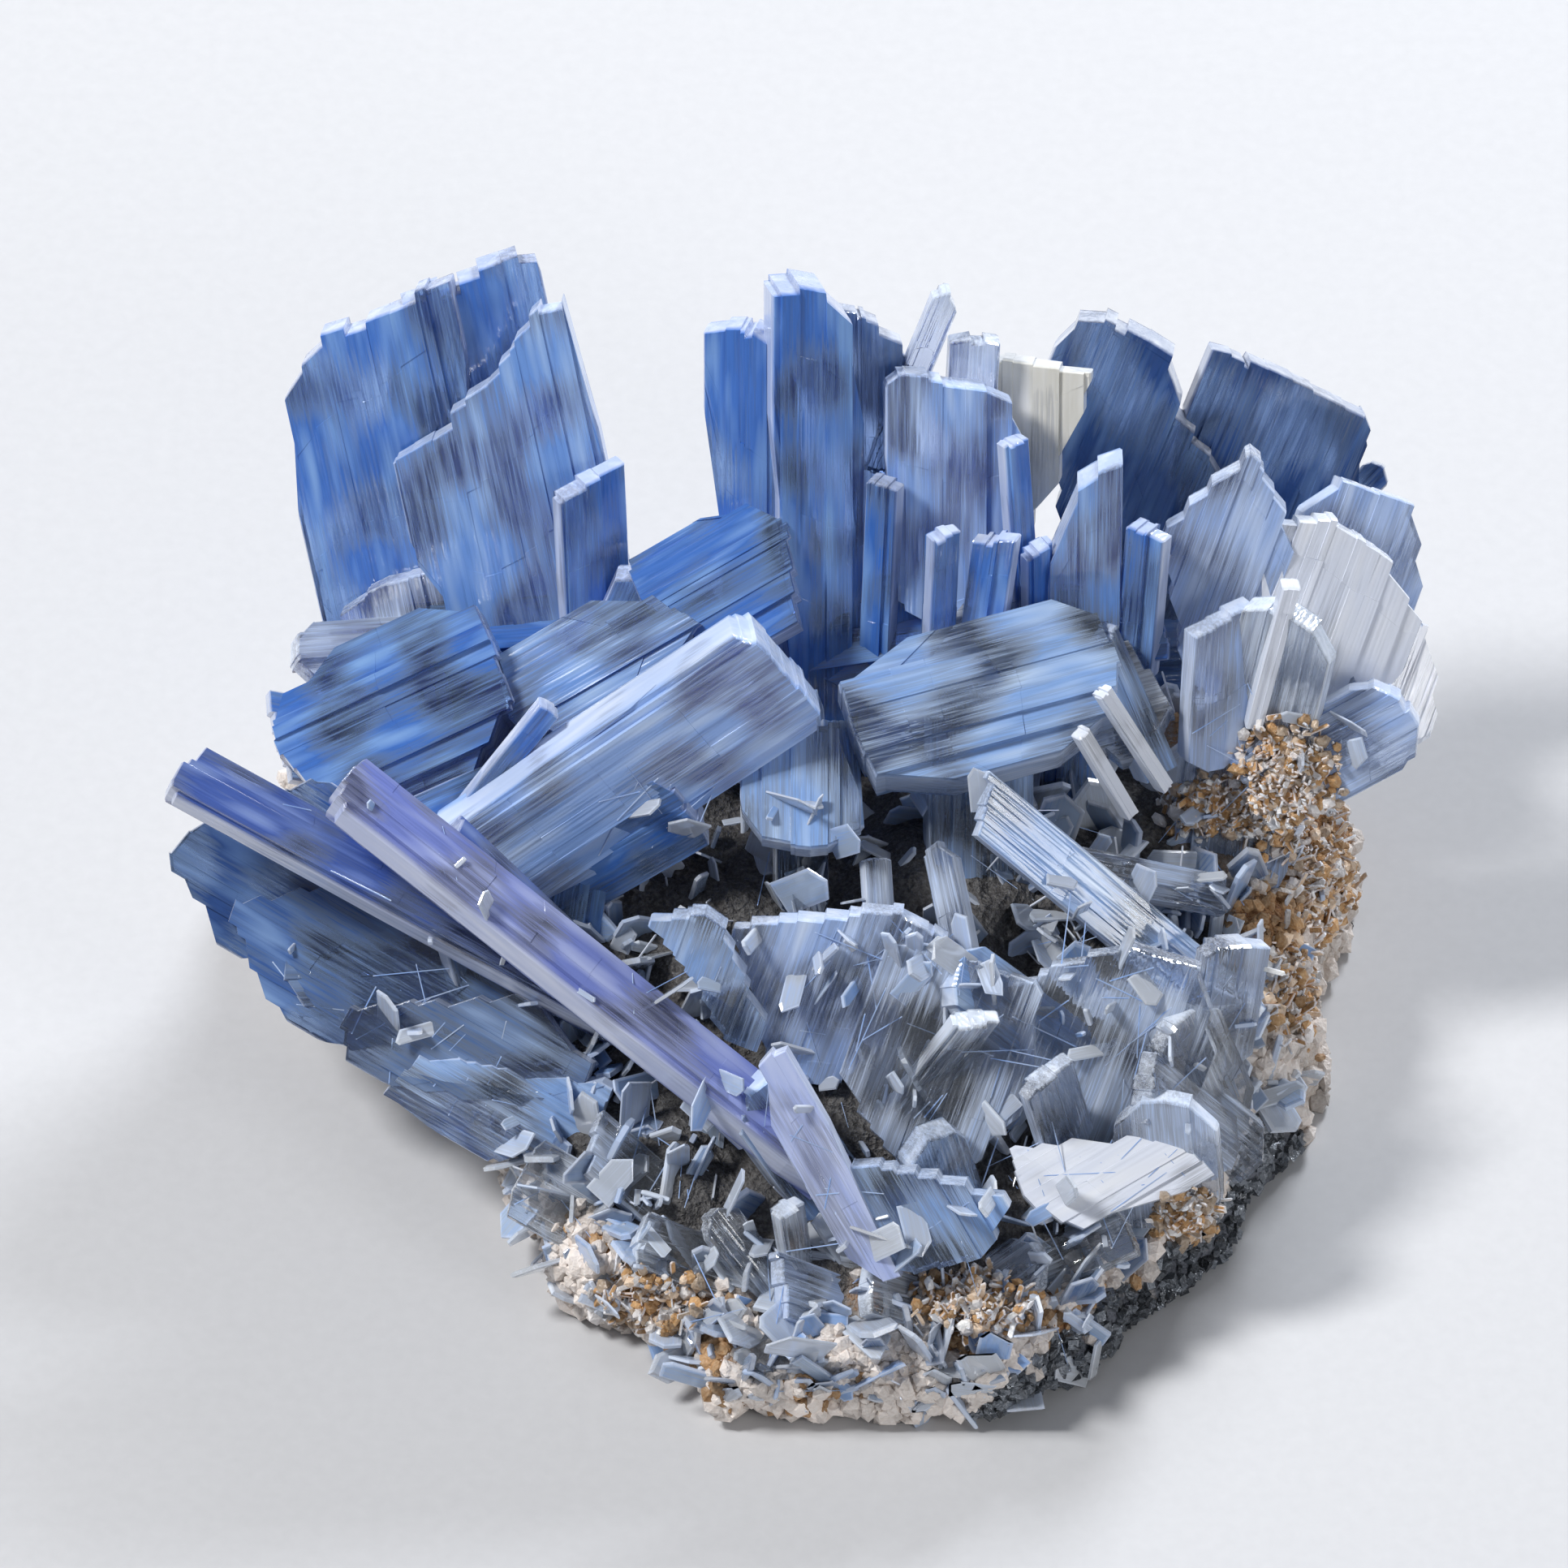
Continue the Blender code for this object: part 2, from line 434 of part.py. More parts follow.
def fused(name, crystals, grow, home):
    """One solid of all the crystals, in the collection home."""
    slabs = bpy.data.collections.new(name + "_slabs")
    bpy.context.scene.collection.children.link(slabs)
    meshes = []
    for number, crystal in enumerate(crystals):
        meshes += crystal_slabs(crystal, number, grow)
    solid = bpy.data.objects.new(name, meshes[0])
    home.objects.link(solid)
    for mesh in meshes[1:]:
        slabs.objects.link(bpy.data.objects.new(mesh.name, mesh))
    boolean(solid, "UNION", slabs)
    for piece in list(slabs.objects):
        spare = piece.data
        bpy.data.objects.remove(piece)
        bpy.data.meshes.remove(spare)
    bpy.data.collections.remove(slabs)
    return solid


def tidy_body(obj):
    """Takes away the chips that a cut has split off, and the edges that lie within a flat face."""
    bm = bmesh.new()
    bm.from_mesh(obj.data)
    waiting = set(bm.verts)
    bodies = []
    while waiting:
        body = [waiting.pop()]
        for vert in body:
            for edge in vert.link_edges:
                other = edge.other_vert(vert)
                if other in waiting:
                    waiting.discard(other)
                    body.append(other)
        bodies.append(body)
    bodies.sort(key=len)
    for body in bodies[:-1]:
        bmesh.ops.delete(bm, geom=body, context="VERTS")
    bmesh.ops.dissolve_limit(bm, angle_limit=FLAT_ANGLE, verts=bm.verts, edges=bm.edges)
    bm.to_mesh(obj.data)
    bm.free()


def rock_reach(angle):
    """How far the rock's outline is from its middle in the direction of the angle."""
    ray = Vector((math.cos(angle), math.sin(angle)))
    corners = [Vector(corner) - Vector(ROCK_MIDDLE) for corner in ROCK_OUTLINE]
    for start, end in zip(corners, corners[1:] + corners[:1]):
        side = end - start
        slope = ray.cross(side)
        if abs(slope) < 1e-9:
            continue
        reach = start.cross(side) / slope
        share = start.cross(ray) / slope
        if reach > 0 and 0 <= share <= 1:
            return reach
    raise ValueError("the rock's outline is open")


def rock_point(unit):
    """Where a point of the unit sphere goes on the rock: steep broken sides and an uneven top."""
    flat = max(math.hypot(unit.x, unit.y), 1e-6)
    reach = rock_reach(math.atan2(unit.y, unit.x)) * flat**ROCK_SPREAD
    x = ROCK_MIDDLE[0] + reach * unit.x / flat
    y = ROCK_MIDDLE[1] + reach * unit.y / flat
    forward = min(max((ROCK_MIDDLE[1] - y) / (ROCK_MIDDLE[1] - ROCK_FRONT), 0.0), 1.0)
    rise = (ROCK_HEIGHT - ROCK_RIM) * (1 - (1 - ROCK_FRONT_SHARE) * forward)
    point = Vector((x, y, math.copysign(abs(unit.z) ** ROCK_CROWN, unit.z) * rise + ROCK_RIM))
    swells = noise.noise(point / ROCK_SWELLS[0]) * ROCK_SWELLS[1]
    blocks = (noise.voronoi(point / ROCK_BLOCKS[0])[0][0] - ROCK_BLOCK_LEVEL) * ROCK_BLOCKS[1]
    grain = noise.noise(point / ROCK_GRAIN[0]) * ROCK_GRAIN[1]
    return point + unit * (swells + blocks + grain)


def make_rock(home):
    """The rock that carries the crystals, cut flat underneath so that it stands."""
    bm = bmesh.new()
    bmesh.ops.create_icosphere(bm, subdivisions=ROCK_FINENESS, radius=1.0)
    for vert in bm.verts:
        vert.co = rock_point(vert.co) * MM
    mesh = bpy.data.meshes.new("matrix_rock")
    bm.to_mesh(mesh)
    bm.free()
    rock = bpy.data.objects.new("matrix_rock", mesh)
    home.objects.link(rock)
    coarser = rock.modifiers.new("coarser", "DECIMATE")
    coarser.ratio = ROCK_KEEP
    coarse = evaluated_mesh(rock)
    rock.modifiers.clear()
    bm = bmesh.new()
    bm.from_mesh(coarse)
    bmesh.ops.bisect_plane(
        bm, geom=bm.verts[:] + bm.edges[:] + bm.faces[:],
        plane_co=(0, 0, 0), plane_no=(0, 0, -1), clear_outer=True, dist=1e-6,
    )  # fmt: skip
    rim = [edge for edge in bm.edges if edge.is_boundary]
    bmesh.ops.holes_fill(bm, edges=rim, sides=0)
    bmesh.ops.recalc_face_normals(bm, faces=bm.faces)
    bm.to_mesh(mesh)
    bm.free()
    bpy.data.meshes.remove(coarse)
    return rock


def centre_over_origin(objects):
    """Moves the meshes together, so that the origin is below the middle of them all."""
    corners = [vert.co for obj in objects for vert in obj.data.vertices]
    middle = Vector(
        [(min(c[axis] for c in corners) + max(c[axis] for c in corners)) / 2 for axis in (0, 1)] + [0]
    )
    for obj in objects:
        obj.data.transform(Matrix.Translation(-middle))


def make_material(name, colour, roughness, transmission):
    material = bpy.data.materials.new(name)
    material.use_nodes = True
    shader = material.node_tree.nodes["Principled BSDF"]
    shader.inputs["Base Color"].default_value = (*colour, 1.0)
    shader.inputs["Roughness"].default_value = roughness
    shader.inputs["Metallic"].default_value = 0.0
    shader.inputs["Transmission Weight"].default_value = transmission
    return material


def main():
    for obj in list(bpy.data.objects):
        bpy.data.objects.remove(obj)
    cluster = bpy.data.collections.new("barite_crystal_cluster")
    rooms = bpy.data.collections.new("rooms_for_neighbours")
    for collection in (cluster, rooms):
        bpy.context.scene.collection.children.link(collection)

    rock = make_rock(cluster)
    for name, crystals, colour in SPRAYS:
        spray = fused(name, crystals, 0.0, cluster)
        if rooms.objects:
            boolean(spray, "DIFFERENCE", rooms)
        tidy_body(spray)
        room = fused(name + "_room", crystals, GAP, rooms)
        room.hide_render = True
        room.display_type = "WIRE"
        spray.data.materials.clear()
        spray.data.materials.append(make_material(name, colour, CRYSTAL_ROUGHNESS, CRYSTAL_TRANSMISSION))
    boolean(rock, "DIFFERENCE", rooms)
    tidy_body(rock)
    rock.data.materials.clear()
    rock.data.materials.append(make_material("matrix_rock", ROCK_COLOUR, ROCK_ROUGHNESS, 0.0))
    centre_over_origin(cluster.objects)


main()
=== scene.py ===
"""Dresses the barite crystal cluster: striated crystals, rough rock, crusts, needles, floor and light.

The frame is in metres, +Z up. Sizes here are written in millimetres. The crystals are placed in the
plane of the camera's view: across to the right, up within that plane, and towards the eye.
"""

import math
import random
from dataclasses import dataclass

import bmesh
import bpy
import numpy as np
from mathutils import Matrix, Vector, noise
from mathutils.bvhtree import BVHTree


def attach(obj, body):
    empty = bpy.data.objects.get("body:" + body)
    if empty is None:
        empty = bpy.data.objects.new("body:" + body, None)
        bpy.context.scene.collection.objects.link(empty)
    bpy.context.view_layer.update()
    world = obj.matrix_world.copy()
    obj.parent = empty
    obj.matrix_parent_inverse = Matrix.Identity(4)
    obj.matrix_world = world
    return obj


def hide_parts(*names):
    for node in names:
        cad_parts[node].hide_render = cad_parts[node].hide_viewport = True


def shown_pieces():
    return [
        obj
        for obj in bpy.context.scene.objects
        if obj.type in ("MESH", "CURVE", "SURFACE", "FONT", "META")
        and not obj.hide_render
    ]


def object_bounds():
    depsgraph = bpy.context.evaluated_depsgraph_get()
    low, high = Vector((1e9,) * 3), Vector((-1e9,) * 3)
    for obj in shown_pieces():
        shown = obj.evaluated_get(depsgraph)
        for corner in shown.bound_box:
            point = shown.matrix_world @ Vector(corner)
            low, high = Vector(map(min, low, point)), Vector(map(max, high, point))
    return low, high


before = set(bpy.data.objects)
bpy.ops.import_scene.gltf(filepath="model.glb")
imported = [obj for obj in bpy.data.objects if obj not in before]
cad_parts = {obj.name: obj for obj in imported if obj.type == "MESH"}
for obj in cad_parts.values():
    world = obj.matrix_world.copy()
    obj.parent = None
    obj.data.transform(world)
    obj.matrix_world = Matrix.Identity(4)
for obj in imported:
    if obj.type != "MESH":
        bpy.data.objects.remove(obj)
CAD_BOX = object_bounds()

MM = 0.001
VIEW_TILT = math.radians(45)

# The view plane's origin, in the frame's own axes.
VIEW_ORIGIN = Vector((-0.126, -3.52, 0.0))

# The camera shows this many millimetres in one pixel of the photograph, which is IMAGE pixels wide.
# The view plane's origin is at ORIGIN_PIXEL.
PIXEL = 0.06
IMAGE = 1932
ORIGIN_PIXEL = (986, 1345)
CAMERA_DISTANCE = 1.0
SENSOR = 36.0


@dataclass
class Plate:
    """A tabular crystal that turns a broad face to the view.

    outline holds its corners as (across, up); depth is how far towards the eye its middle is, and
    lean how much nearer it comes per millimetre across and up.
    """

    outline: tuple
    depth: float
    lean: tuple
    thick: float
    layers: int = 1


@dataclass
class Blade:
    """A long crystal from foot to tip, as (across, up, towards), with its broad face to facing."""

    foot: tuple
    tip: tuple
    width: float
    thick: float
    facing: tuple = (0, 0, 1)
    end: str = "flat"
    layers: int = 0


# The free ends, as (share of the half width, distance short of the tip in half widths).
ENDS = {
    "flat": ((1, 0.25), (0.75, 0), (-0.7, 0), (-1, 0.35)),
    "slanted": ((1, 0.1), (0.9, 0), (-1, 0.9)),
    "spear": ((1, 1.5), (0.15, 0), (-0.2, 0), (-1, 0.8)),
    "round": ((1, 0.9), (0.75, 0.3), (0.3, 0), (-0.35, 0.02), (-0.8, 0.4), (-1, 1.0)),
}

STRAP_BLADE = (
    Plate(((-3, 3.5), (-1, 4), (1.5, -1.5), (5.5, -8), (7.5, -12.5), (5, -13), (1.5, -8), (-2, -1.5)),
          30, (0.1, 0.25), 2.0, 0),
    Plate(((3, -4), (9, -5), (15, -7), (13.5, -11), (7, -12.5), (3.5, -9)), 28.5, (0.1, 0.2), 3.4),
    Blade((12, -11, 20), (9, -2, 27), 5.0, 2.4, (0.2, 0.1, 1), "round"),
)

LONG_DIAGONAL_BLADE = (
    Blade((2.5, -5.5, 25), (-33.2, 22.8, 25), 4.6, 4.4, (0.5, 0.35, 1), "flat", 1),
    Blade((-3.0, -2.5, 22.5), (-26, 19.4, 23.5), 3.2, 3.4, (0.4, 0.6, 1), "slanted"),
    Blade((3.5, -9, 19), (-4, 1.5, 26), 6.0, 4.0, (0.2, 0.1, 1), "round"),
)

DEEP_BLUE_BLADE = (
    Blade((-12.5, 5.8, 19), (-45.2, 23.8, 20), 4.6, 3.8, (0.3, 0.25, 1), "flat", 1),
    Blade((-18, 9.0, 16), (-38, 21.6, 18), 6.4, 2.4, (0.15, 0.1, 1), "round", 1),
    Blade((-14, 3, 10), (-17, 10, 18), 5.0, 3.0, (0.3, 0.2, 1), "slanted"),
)

LOWER_CLEAR_PLATES = (
    Plate(((-11, 13), (-6, 14), (-2.5, 5.5), (-3, 3.5), (-5.5, 4.5), (-8, 9.5)), 23, (0.1, 0.45), 2.2),
    Plate(((-5, 12.5), (-0.5, 13.5), (8, 14), (12, 10.5), (7.5, 7), (4.5, 1.5), (-2, 1), (-3.5, 7)),
          21.5, (0.05, 0.35), 2.4),
    Plate(((3, 2.5), (5, 7), (6, 11), (9, 11.5), (17.5, 8.5), (16.5, 0), (12, -5.5), (7, -4.5), (4, -0.5)),
          22.8, (0.1, 0.1), 2.6),
    Plate(((14, 8), (23.5, 11.5), (29, 10), (30, 2.5), (25, -4), (17, -2)), 21.5, (0.1, 0.25), 2.4),
    Blade((21, 2, 17), (10.5, 9.5, 25), 6.0, 2.0, (0.1, 0.4, 1), "round", 1),
    Blade((6, -3, 18), (13, 6.5, 27.5), 3.4, 1.8, (0.6, 0.2, 1), "slanted"),
    Blade((19.5, -4, 20), (17.5, 2, 28), 4.6, 1.8, (0.3, 0.1, 1), "flat"),
    Blade((6.4, 3, 19), (5.4, 17.4, 18.5), 2.2, 1.8, (0.4, 0, 1), "flat"),
    Blade((13.2, 3, 21.5), (10.0, 18.8, 19), 2.4, 1.8, (-0.4, 0, 1), "spear"),
    Blade((2.6, 3, 19), (0.2, 15.4, 18), 2.2, 1.8, (0, 0, 1), "flat"),
)

LOWER_RIGHT_PLATES = (
    Plate(((15, -3.5), (27, -2.5), (30, -5.5), (25, -7.5), (20, -9.5), (16, -7.5)), 24.5, (0, -0.1), 2.0, 0),
    Blade((33, 5, 14), (12.0, 22.2, 21.5), 4.4, 2.2, (0.2, 0.1, 1), "slanted", 1),
    Blade((31, 14.5, 12), (16.0, 17.4, 17.5), 3.2, 1.8, (0, 0.4, 1), "flat"),
    Blade((30, 2, 16), (31.5, 11.5, 20), 5.5, 2.4, (0.5, 0.1, 1), "flat", 1),
    Blade((31, -2.5, 16), (27, 6.4, 23.5), 6.4, 2.4, (0.3, 0.2, 1), "round", 1),
    Blade((27, -9, 21), (26, 0.5, 26), 8.0, 2.2, (-0.2, 0.1, 1), "round", 1),
    Blade((31, -4, 18), (24, 1.5, 26.5), 5.0, 2.2, (0.3, 0.2, 1), "slanted"),
    Blade((33, -5, 16), (22, 4, 21), 6.0, 2.4, (0, -0.3, 1), "spear"),
    Blade((34, 8, 9), (26, 4, 18), 6.0, 3.0, (0, 0.2, 1), "flat"),
    Blade((32, 1, 8), (29, 6, 17), 6.0, 3.0, (0, 0.2, 1), "flat"),
)

FRONT_CRUST = (
    Blade((-9, -12, 19), (-20.5, -5.5, 19), 6.4, 2.4, (0.1, -0.1, 1), "flat", 1),
    Blade((-6, -11, 20), (-16, -2.4, 21.5), 4.6, 2.0, (0.3, 0.2, 1), "slanted", 1),
    Blade((-2, -14, 22.5), (-12, -10, 25), 4.4, 2.0, (0.2, 0.4, 1), "flat"),
    Blade((-1, -15, 23), (-6.5, -8, 25), 3.4, 1.8, (0.5, 0.1, 1), "round"),
    Blade((4, -15.5, 23.5), (-2.5, -13, 27), 4.6, 2.0, (0.1, 0.3, 1), "slanted"),
    Blade((0, -14, 22), (-1, -7.5, 27), 2.4, 1.8, (0.6, 0, 1), "flat"),
    Blade((10, -15.5, 23.5), (4.5, -13.5, 27.5), 4.0, 1.8, (0, 0.4, 1), "flat"),
    Blade((4, -17.5, 25), (-4.5, -19, 26.5), 3.6, 2.0, (0.1, 0.2, 1), "spear"),
    Blade((12, -15, 22.5), (17.5, -11, 26), 4.4, 1.8, (-0.2, 0.3, 1), "round"),
    Blade((14, -14, 22), (24, -9.5, 24), 3.6, 2.0, (0, 0.3, 1), "flat"),
    Blade((9, -17.5, 25), (13, -16, 27), 3.4, 1.8, (-0.3, 0, 1), "slanted"),
    Blade((-10, -11.5, 21), (15, -15, 23.5), 5.5, 3.0, (0, -0.1, 1), "round"),
)

LEFT_SHELF_PLATES = (
    Plate(((-46.5, 17.5), (-43.5, 20.5), (-35, 19), (-30, 12), (-35, 9.5), (-42, 10.5), (-44, 14)),
          11, (0.12, 0), 2.0),
    Plate(((-42, 14), (-31, 16), (-20, 8), (-23, 3), (-33.5, 3.5), (-37, 5), (-39.5, 8)),
          13.5, (0.2, -0.1), 2.2),
    Plate(((-33.5, 6.5), (-20, 7.5), (-14, 1.5), (-20, -0.5), (-30, 1), (-33, 2.5)), 17, (0.2, 0.1), 2.0),
    Plate(((-30.5, 0.5), (-27.5, 3.5), (-13.5, 1), (-14.5, -3.5), (-23, -4.5), (-27.5, -1.5)),
          16.5, (0.25, 0.35), 2.2),
    Blade((-18, 9, 10), (-38, 8.5, 12), 6.0, 3.6, (0, 0.3, 1), "round"),
    Blade((-14, 1, 13), (-27, 3.6, 15), 6.5, 3.6, (0, 0.3, 1), "round"),
    Blade((-20, -3, 10), (-24.5, 13, 16), 5.0, 2.4, (0.5, 0, 1), "flat"),
)

SLANTING_BLADE = (
    Blade((-23.8, 16.4, 15.5), (-0.8, 31.6, 21), 10.6, 4.8, (0.25, -0.42, 0.9), "flat", 1),
    Blade((-20.5, 14.5, 13), (-8, 21.6, 18), 7.5, 3.0, (0.2, -0.5, 0.9), "flat"),
    Blade((-25.4, 19.6, 15), (-18.0, 28.6, 20), 1.8, 1.6, (0.3, -0.2, 1), "flat"),
    Blade((-27.0, 17.0, 14), (-20.4, 25.4, 18), 1.6, 1.6, (0.1, 0.2, 1), "slanted"),
    Blade((-19, 6, 9), (-17, 19, 15), 7.0, 4.0, (0.1, -0.1, 1), "flat"),
)

BEHIND_SLANTING_BLADE = (
    Plate(((-22, 32), (-12.5, 37), (-6, 34), (-15, 26), (-21, 26.5)), 10.5, (0.2, -0.25), 4.4),
    Plate(((-12.5, 39), (-8, 41.5), (-3, 43), (-0.5, 42), (0, 34), (-6, 32), (-12, 36)),
          10, (0.15, -0.2), 4.6),
    Blade((-17, 20, 0), (-9, 37.5, 8), 9.0, 5.0, (0, -0.2, 1), "flat"),
)

ROUND_BLADE = (
    Plate(((-4.5, 24.5), (-2, 27), (3, 27), (3.8, 23), (4.5, 19.5), (1.5, 17.5), (-1.5, 18), (-4, 19)),
          17.5, (0, -0.35), 2.4, 1),
    Blade((-1, 29, 10), (0, 20, 17), 5.4, 2.4, (0.1, 0.3, 1), "round"),
    Blade((2.6, 27, 12), (3.2, 18.5, 17.5), 3.0, 2.0, (0.5, 0.3, 1), "slanted"),
    Blade((0, 10, 8), (0, 20.5, 16.5), 4.0, 2.4, (0.1, 0.3, 1), "flat"),
)

CLEAR_BLOCK = (
    Plate(((2.5, 30), (11.5, 34), (21, 36), (23.5, 31), (22.5, 26.5), (16, 23.5), (6, 22), (4, 25)),
          15, (0, -0.3), 6.4, 2),
    Plate(((10.5, 35), (18, 37.5), (24, 33), (27.5, 28), (24, 24), (16, 28)), 10.5, (0.1, -0.25), 4.4),
    Blade((26.0, 23.5, 12), (21.4, 33.8, 16), 3.0, 2.4, (0.4, 0, 1), "slanted"),
    Blade((26.6, 22.5, 14), (21.8, 29.6, 19.5), 1.3, 1.3, (0.4, 0, 1), "flat"),
    Blade((24.0, 20.5, 14), (20.2, 26.6, 19.5), 1.2, 1.2, (0.4, 0, 1), "flat"),
    Blade((13, 13, 9), (13, 29, 14), 8.0, 4.0, (0.2, -0.1, 1), "flat"),
)

BLUE_BLOCK = (
    Plate(((-38.5, 27.5), (-35, 31), (-32, 33.5), (-28, 35), (-23, 35.5), (-22, 32.5), (-20.5, 28),
           (-24.5, 22), (-29, 20), (-35, 21.5), (-38, 24.5)), 9, (0.1, -0.15), 8.0, 1),
    Blade((-24, 33, 0), (-37.5, 32, 4), 5.0, 3.0, (-0.1, 0.3, 1), "round"),
    Blade((-26, 24, 2), (-40, 26.5, 4), 6.5, 3.6, (-0.1, 0.2, 1), "slanted", 1),
    Blade((-22, 22.5, 12), (-28.5, 19.5, 16), 4.0, 2.4, (0.2, 0.2, 1), "flat"),
    Blade((-28, 14, 0), (-30, 30, 7), 9.0, 5.0, (0.1, 0, 1), "flat"),
)

CLEAR_SPEAR = (
    Plate(((18, 33), (18.5, 42.5), (19.5, 44), (22.5, 47), (23.5, 47), (23.5, 39.5), (23, 32)),
          13, (0, 0.5), 3.4),
    Blade((24.6, 31, 9), (25.4, 41.5, 15.5), 3.4, 2.0, (-0.5, 0, 1), "flat"),
    Blade((17.4, 31, 8), (17.2, 40.5, 14), 2.2, 1.8, (0.4, 0, 1), "slanted"),
    Blade((17, 32.5, 9), (27, 33.5, 10), 3.4, 2.4, (0, 0, 1), "flat"),
    Blade((20, 19, 2), (20.5, 38, 10), 5.0, 3.0, (0.1, 0, 1), "flat"),
)

PALE_FAN = (
    Plate(((26.5, 41.5), (33, 47.5), (34.5, 44.5), (36, 41.5), (36, 34), (32, 28), (28, 31)),
          11, (0, 0.35), 2.8),
    Plate(((34, 42), (39, 42.5), (43, 39.5), (45.5, 34.5), (42, 28), (36, 27), (33, 33)),
          9.5, (-0.2, 0.3), 2.4),
    Plate(((36, 41.5), (39, 45.5), (45, 43.5), (45.5, 36.5), (43, 30), (36, 29)), 5, (-0.3, 0.25), 2.4),
    Plate(((36, 33), (40, 36), (46, 34.5), (46.5, 27), (44, 24.5), (36, 23)), 7, (-0.3, 0.1), 2.6),
    Blade((33, 24, 8), (35.6, 35.8, 17), 8.5, 2.4, (-0.2, 0.2, 1), "round", 1),
    Blade((33.0, 22, 9), (44.8, 28.4, 12), 7.5, 2.6, (0.35, -0.1, 1), "round", 1),
    Blade((30, 24, 10), (30.5, 36, 16), 5.0, 2.0, (0.45, 0, 1), "slanted"),
    Blade((33.0, 27, 12), (35.6, 37.4, 18.5), 1.4, 1.6, (0.2, 0, 1), "flat"),
    Blade((30, 27, 6), (41, 31, 7), 6.0, 4.0, (0, 0.1, 1), "round"),
    Blade((31, 13, 2), (33, 30, 8.5), 9.0, 5.0, (0.1, 0, 1), "flat"),
)

CENTRE_SPIRES = (
    Plate(((-2.5, 59.5), (0.5, 60), (3, 58), (4, 52.5), (4.5, 44.5), (4, 26), (1, 23), (-1, 26),
           (-2, 44.5), (-2.5, 52.5)), 10.5, (-0.25, 0.42), 4.6, 1),
    Plate(((-7, 56), (-6, 56.5), (-3, 56.5), (-1.5, 54.5), (0.5, 44.5), (1.5, 30), (-2, 29.5), (-5, 34),
           (-6, 42.5), (-6.5, 52)), 9.5, (0.2, 0.42), 3.4, 1),
    Plate(((2.5, 58), (4.5, 57.5), (7.5, 55.5), (8.5, 52.5), (8.5, 38), (4.5, 34), (3, 45.5)),
          8, (-0.1, 0.35), 3.0, 1),
    Plate(((6, 51), (6.5, 53), (8.5, 53), (15, 51.5), (16.5, 47), (15, 36), (11, 33), (7, 36.5)),
          10.5, (-0.1, 0.3), 3.0),
    Plate(((14, 54.5), (21.5, 53), (19, 45.5), (16, 40), (12.5, 42)), 6.5, (0.15, 0.3), 2.2, 0),
    Blade((5.5, 46, 6), (10.9, 59, 13), 2.2, 1.8, (0.3, 0, 1), "spear"),
    Blade((12.2, 44, 6), (12.7, 55.6, 11), 3.8, 2.2, (0.1, 0.2, 1), "flat"),
    Blade((5.6, 31, 6), (6.2, 45, 14), 2.6, 2.0, (-0.4, 0, 1), "flat"),
    Blade((13.0, 31, 9), (14.4, 41.4, 17), 3.4, 2.0, (-0.3, 0, 1), "slanted"),
    Blade((10.0, 31, 9), (10.4, 41.2, 16.5), 2.4, 1.8, (0.5, 0, 1), "flat"),
    Blade((16.6, 33, 8), (15.4, 48.0, 15.5), 2.2, 1.8, (0.5, 0, 1), "flat"),
    Blade((0.5, 32, 5), (17, 34.5, 7), 6.5, 4.0, (0, 0.1, 1), "flat"),
    Blade((9, 21, -1), (9.5, 38, 7), 11.0, 4.0, (0.1, 0, 1), "flat"),
)

RIGHT_PLATE_SPRAY = (
    Plate(((18, 54), (21, 58), (22.5, 58), (27.5, 55), (28, 50.5), (31.5, 47), (31, 24), (22, 22)),
          -2, (0.1, 0.4), 2.8),
    Plate(((26.5, 45), (29.5, 51), (30, 55), (31, 55.5), (42, 50.5), (42, 46.5), (40, 37.5),
           (33, 27)), -3.5, (-0.15, 0.4), 2.6),
    Blade((38.5, 41.5, -6), (43.4, 46.4, -5), 2.4, 1.8, (0.2, 0.2, 1), "round"),
    Blade((23, 33, -7), (41, 34, -5), 8.0, 4.0, (0, 0.1, 1), "round"),
)

LEFT_PLATE_SPRAY = (
    Plate(((-30, 46.5), (-26, 50), (-23, 52.5), (-19, 58.5), (-17, 58.5), (-16.5, 54), (-16, 49.5),
           (-14, 45), (-12.5, 39.5), (-14, 34), (-21, 30), (-25.5, 35), (-29, 41.5)),
          5, (0.1, 0.35), 2.6),
    Plate(((-38, 53.5), (-36, 54.5), (-36, 56), (-30.5, 58), (-30, 58.5), (-25.5, 60.5), (-23, 38.5),
           (-25, 22), (-32, 23), (-36.5, 39.5), (-37, 44.5)), 0.5, (0.15, 0.42), 2.8),
    Plate(((-31, 58), (-20, 62.5), (-19.5, 62), (-18.5, 58.5), (-18, 52), (-17, 42.5), (-18, 24),
           (-24.5, 22), (-29, 44)), 0, (-0.12, 0.42), 2.8),
    Plate(((-35, 32.5), (-33.5, 36), (-30.5, 38), (-26, 39), (-26, 33), (-29, 30)), -0.5, (0.1, 0.3), 3.0, 0),
    Blade((-15, 32, 2), (-15.6, 46.4, 9.5), 5.5, 2.2, (0.4, 0, 1), "slanted"),
    Blade((-31, 33, -1), (-17, 34, 1), 6.0, 4.4, (0, 0.2, 1), "flat"),
)

